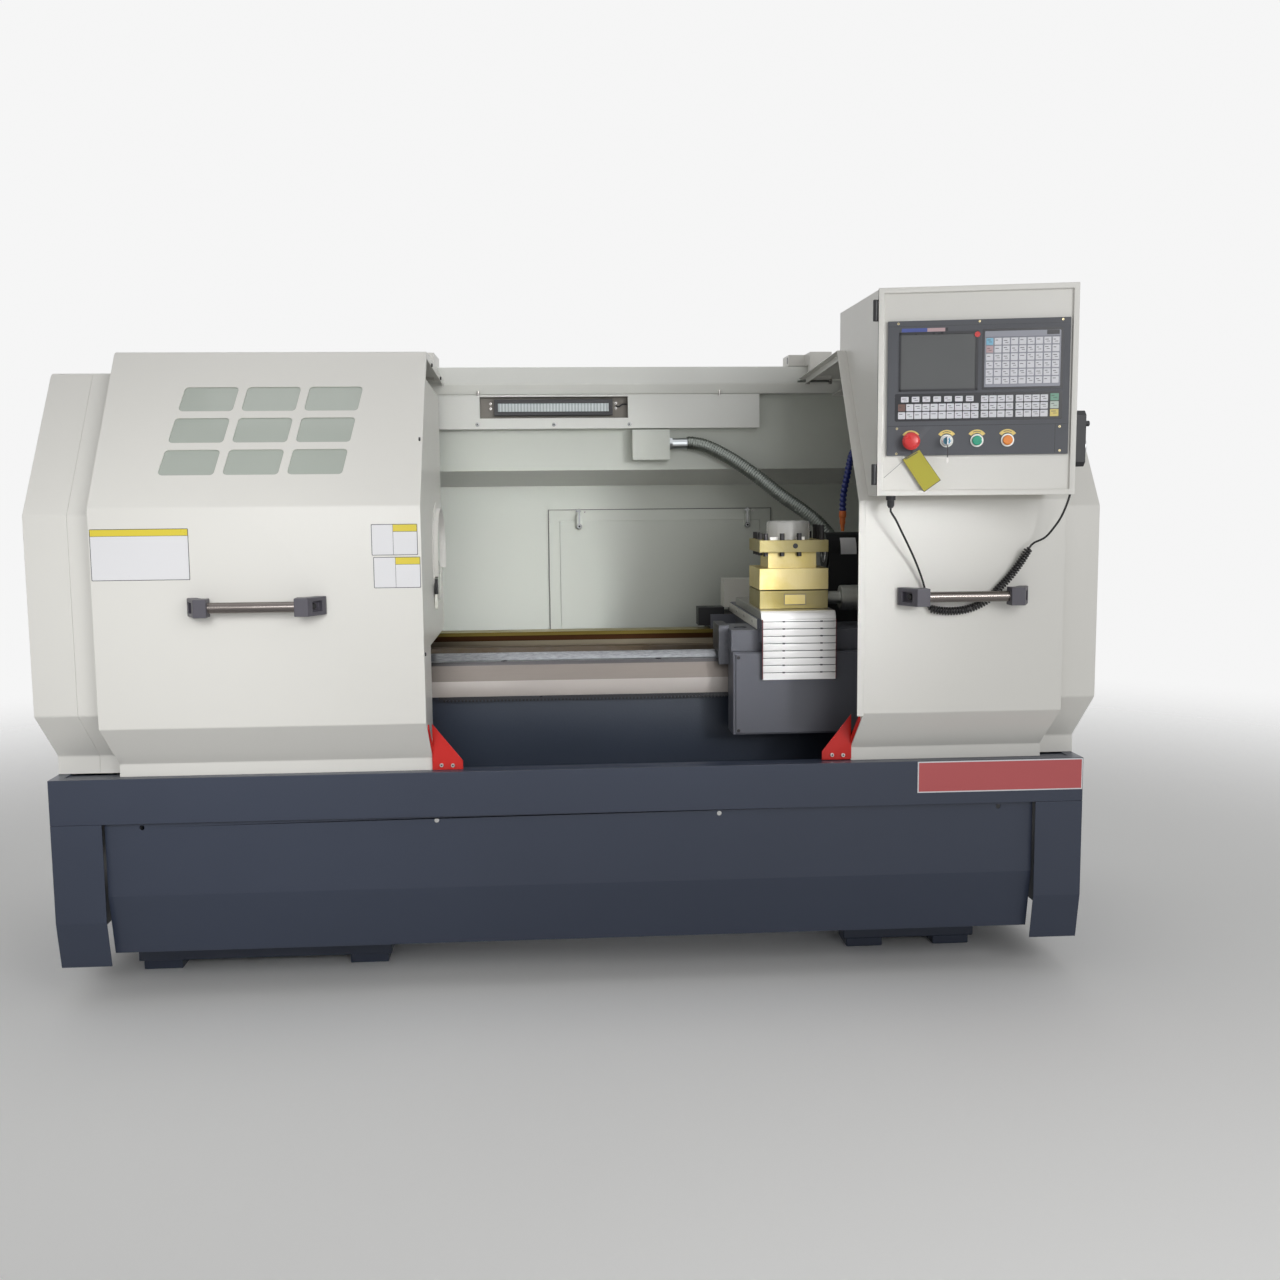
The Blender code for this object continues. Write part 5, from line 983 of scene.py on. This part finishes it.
buttonSpots = (0.0751, 0.1549, 0.2219, 0.2891)
screenFrame = (0.0466, 0.2212, 0.8950, 1.0264, 0.0048)


def border(u0, u1, v0, v1, width):
    # the four bars round a rectangle
    return [(u0, u1, v1 - width, v1), (u0, u1, v0, v0 + width),
            (u0, u0 + width, v0, v1), (u1 - width, u1, v0, v1)]


def keyRows(random):
    # each key, the long mark on it and, on most, a short mark below
    rows = []
    for block, (u0, columns, across, wide, v0, count, upward, high) in keyBlocks.items():
        for column in range(columns):
            for row in range(count):
                u, v = u0 + column * across, v0 + row * upward
                colour = keyColours.get((block, column, row), "keyWhite")
                rows.append((colour, (u, u + wide, v, v + high, 0.0012), 0.0, 0.0022))
                reach, level = random.uniform(0.30, 0.62) * wide, v + high * random.uniform(0.55, 0.68)
                mark = (u + 0.0022, u + 0.0022 + reach, level, level + 0.0013)
                rows.append(("keyMark", mark, 0.0020, 0.0024))
                if random.uniform() > 0.35:
                    mark = (u + wide * 0.35, u + wide * 0.80, level - 0.0042, level - 0.0032)
                    rows.append(("keyMark", mark, 0.0020, 0.0024))
    return rows


panelParts = plates(onConsole, [
    ("frameBlack", (0.2300, 0.4062, 0.8960, 1.0305, 0.003), -0.0003, 0.0003),
    ("keyGround", (0.2355, 0.4007, 0.9015, 1.0250, 0.002), -0.0003, 0.0005),
    ("frameBlack", (0.0385, 0.4065, 0.8280, 0.8900, 0.003), -0.0003, 0.0003),
    ("keyMark", (0.2365, 0.3990, 1.0112, 1.0120), 0, 0.0007),
    ("frameBlack", (0.3702, 0.3972, 1.0153, 1.0247, 0.001), -0.0002, 0.0010),
    ("keyBarrelBlue", (0.0521, 0.1087, 1.0272, 1.0352), -0.0002, 0.0004),
    ("keyRose", (0.1087, 0.1481, 1.0272, 1.0352), -0.0002, 0.0004),
    ("frameBlack", (0.1481, 0.1544, 1.0272, 1.0352), -0.0002, 0.0004)])
panelParts.append(lathed("stopRed", (0.219, 1.0188), [(0.0, 0.0065), (0.0022, 0.0065)], onConsole, 8))
panelParts += plates(onConsole, [("frameBlack", bar, -0.0002, 0.0014) for bar in border(*screenFrame)])
panelParts += plates(onConsole, [("frameBlack", bar, -0.0002, 0.0002) for bar in (
    (0.0222, 0.4208, 0.8172, 0.8182), (0.3920, 0.3930, 0.7525, 0.8177), (0.0222, 0.4208, 1.0397, 1.0403))])
panelParts += plates(onConsole, keyRows(np.random.default_rng(7)))
for spot in buttonSpots:
    centre = np.array([spot, 0.785])
    panelParts += [slab("fieldYellow", arcBand(centre, 0.0150, 0.0228, 35, 145), -0.0002, 0.0004, onConsole),
                   slab("keyMark", arcBand(centre, 0.0182, 0.0195, 62, 118, 6), 0, 0.0005, onConsole)]
panelParts += screws([(0.0445, 1.0462), (0.2235, 1.0474), (0.4040, 1.0471), (0.0439, 0.8119),
                      (0.0431, 0.7554), (0.4021, 0.8116), (0.4034, 0.7585)], 0.0026, onConsole, 0.0012,
                     "brassScrew")
joinParts("panelTrim", panelParts, "control_door")

# The key's coloured barrel with its blade, and the yellow tag that hangs from the panel by a string
barrelFace = arcBand(np.array([0.1549, 0.783]), 0.0, 0.0085, 0, 359, 24)
joinParts("keyFob", [slab("keyBarrel", barrelFace, 0.0115, 0.0124, onConsole)] + plates(onConsole, [
    ("blackSteel", (0.1537, 0.1561, 0.7455, 0.772), 0.030, 0.0315),
    ("boltSteel", (0.1528, 0.1570, 0.7320, 0.7460, 0.001), 0.0302, 0.0313)]), "key_switch")
tag = np.array([(0.0565, 0.7426), (0.0944, 0.7655), (0.1435, 0.6947), (0.1068, 0.6679)])
tagMiddle = tag.mean(0)
tagLine = [(0.0628, 0.7435), (0.0900, 0.7592), (0.0912, 0.7573), (0.0640, 0.7416)]
joinParts("hangTag", [slab("keyMark", tag, 0.0014, 0.0017, onConsole),
                      slab("tagYellow", tagMiddle + (tag - tagMiddle) * 0.965, 0.0013, 0.0020, onConsole),
                      slab("keyMark", tagLine, 0.0014, 0.0022, onConsole)], "control_door")
string = curveThrough([(0.0566, 0.7371, 0.0022), (0.043, 0.7250, 0.0024), (0.030, 0.7135, 0.0020),
                       (0.0158, 0.7014, 0.0012)], 0.004)
stringLoop = curveThrough([(0.078, 0.756, 0.002), (0.079, 0.764, 0.004), (0.0775, 0.772, 0.008)], 0.003)
joinParts("tagString", [tubePart("seamGrey", onConsole(string), 0.0006, 6),
                        tubePart("keyMark", onConsole(stringLoop), 0.0007, 6)], "control_door")
print("console dressed")

# Right door: guide rod and nuts inside the roof return, a slot in the guide box's end as a black plate of
# painted shade
rodWay = curveThrough([(0.664, 0.672, 0.989), (0.700, 0.672, 0.989), (0.765, 0.672, 0.989)], 0.02)
nuts = [lathed("boltSteel", (0.672, 0.9875), [(x, 0.0085), (x + 0.008, 0.0085)], onSide(0.0, 1), 6)
        for x in (0.6915, 0.756)]
joinParts("guideRod", [tubePart("armourGrey", rodWay, 0.0042, 14)] + nuts, "right_door")
joinParts("guideSlotShade", plates(onSide(0.6425, -1), [
    ("frameBlack", (0.712, 0.728, 1.042, 1.060, 0.003), -0.001, 0.0006)]), "right_door")

# Right door: a rounded lip in front of its left edge, along the door's outer line in (y, z)
doorLine = [(-0.085, 0.131), (-0.085, 0.6486), (0.1742, 1.025), (0.690, 0.9988)]
doorInner = [(-0.082, 0.131), (-0.082, 0.6477), (0.1757, 1.0219), (0.690, 0.9958)]
joinParts("doorLip", [slab("guardWhite", doorLine + doorInner[::-1], 0.6715, 0.6878, onSide(0.0, 1))],
          "right_door", 0.0012)

# Rear: the cabinet's lock, and its vents as grey bars of painted shade
lockProfile = [(-0.0005, 0.016), (0.0022, 0.016), (0.003, 0.009), (0.005, 0.0085)]
ventShadeBars = [(-0.86, -0.64, 0.62 + row * 0.020, 0.62 + row * 0.020 + 0.006, 0.003) for row in range(9)]
joinParts("cabinetTrim", [lathed("plasticBlack", (-0.4425, 0.46), lockProfile, onBack(1.2233), 24)]
          + plates(onBack(1.2233), [("seamGrey", bar, -0.0003, 0.0006) for bar in ventShadeBars]), "cabinet_door")
print("rear dressed")

# Floor and light: a lamp's name, place, aim, size, power and spread
studio = {"floor": (0.95, 0.95, 0.94), "sky": 0.33, "backdrop": 0.92, "fadeFrom": 2.0, "fadeTo": 6.0}
lamps = [("rightLight", (1.6, -4.0, 2.1), (0.2, 0.0, 0.85), 1.8, 43.0, 180.0),
         ("doorLight", (-0.8, -3.4, 1.8), (-0.95, -0.5, 0.85), 1.0, 2.8, 42.0),
         ("bayLight", (2.0, -3.6, 1.7), (-0.12, 0.3, 0.92), 0.6, 1.0, 17.0),
         ("topLight", (0.0, 0.2, 4.6), (0.0, 0.1, 0.6), 3.4, 22.0, 180.0)]


def makeFloor():
    # the floor thins out with distance from the lathe, so it has no horizon
    mesh = bpy.data.meshes.new("floor")
    mesh.from_pydata([(-14, -12, 0), (14, -12, 0), (-14, 14, 0), (14, 14, 0)], [], [(0, 1, 3, 2)])
    floor = newObject("floor", outward(mesh))
    made, tree, shader = shaderOf("floorGrey", Base_Color=(*studio["floor"], 1), Roughness=0.7)
    mesh.materials.append(made)
    place = addNode(tree, "TexCoord")
    reach = addNode(tree, "VectorMath", operation="LENGTH")
    fade = addNode(tree, "MapRange", interpolation_type="SMOOTHSTEP", From_Min=studio["fadeFrom"],
                   From_Max=studio["fadeTo"], To_Min=1.0, To_Max=0.0)
    connect(tree, (place, "Object", reach, 0), (reach, "Value", fade, "Value"),
            (fade, "Result", shader, "Alpha"))


def makeSky():
    # what the camera, a reflection or clear plastic sees is a pale backdrop; the light it casts is dimmer
    world = bpy.data.worlds.new("sky")
    bpy.context.scene.world = world
    world.use_nodes = True
    tree = world.node_tree
    back = tree.nodes["Background"]
    back.inputs["Color"].default_value = (1, 1, 1, 1)
    path = addNode(tree, "LightPath")
    seen = addNode(tree, "Math", operation="MAXIMUM")
    through = addNode(tree, "Math", operation="MAXIMUM")
    level = addNode(tree, "MapRange", To_Min=studio["sky"], To_Max=studio["backdrop"])
    connect(tree, (path, "Is Camera Ray", seen, 0), (path, "Is Glossy Ray", seen, 1),
            (seen, 0, through, 0), (path, "Is Transmission Ray", through, 1),
            (through, 0, level, "Value"), (level, "Result", back, "Strength"))


def makeLamp(name, place, aim, size, power, spread):
    data = bpy.data.lights.new(name, "AREA")
    data.size = size
    data.energy = power
    data.spread = math.radians(spread)
    lamp = newObject(name, data)
    lamp.location = place
    lamp.rotation_euler = (Vector(aim) - Vector(place)).to_track_quat("-Z", "Y").to_euler()


makeFloor()
makeSky()
for lamp in lamps:
    makeLamp(*lamp)
bpy.context.scene.view_settings.view_transform = "Standard"
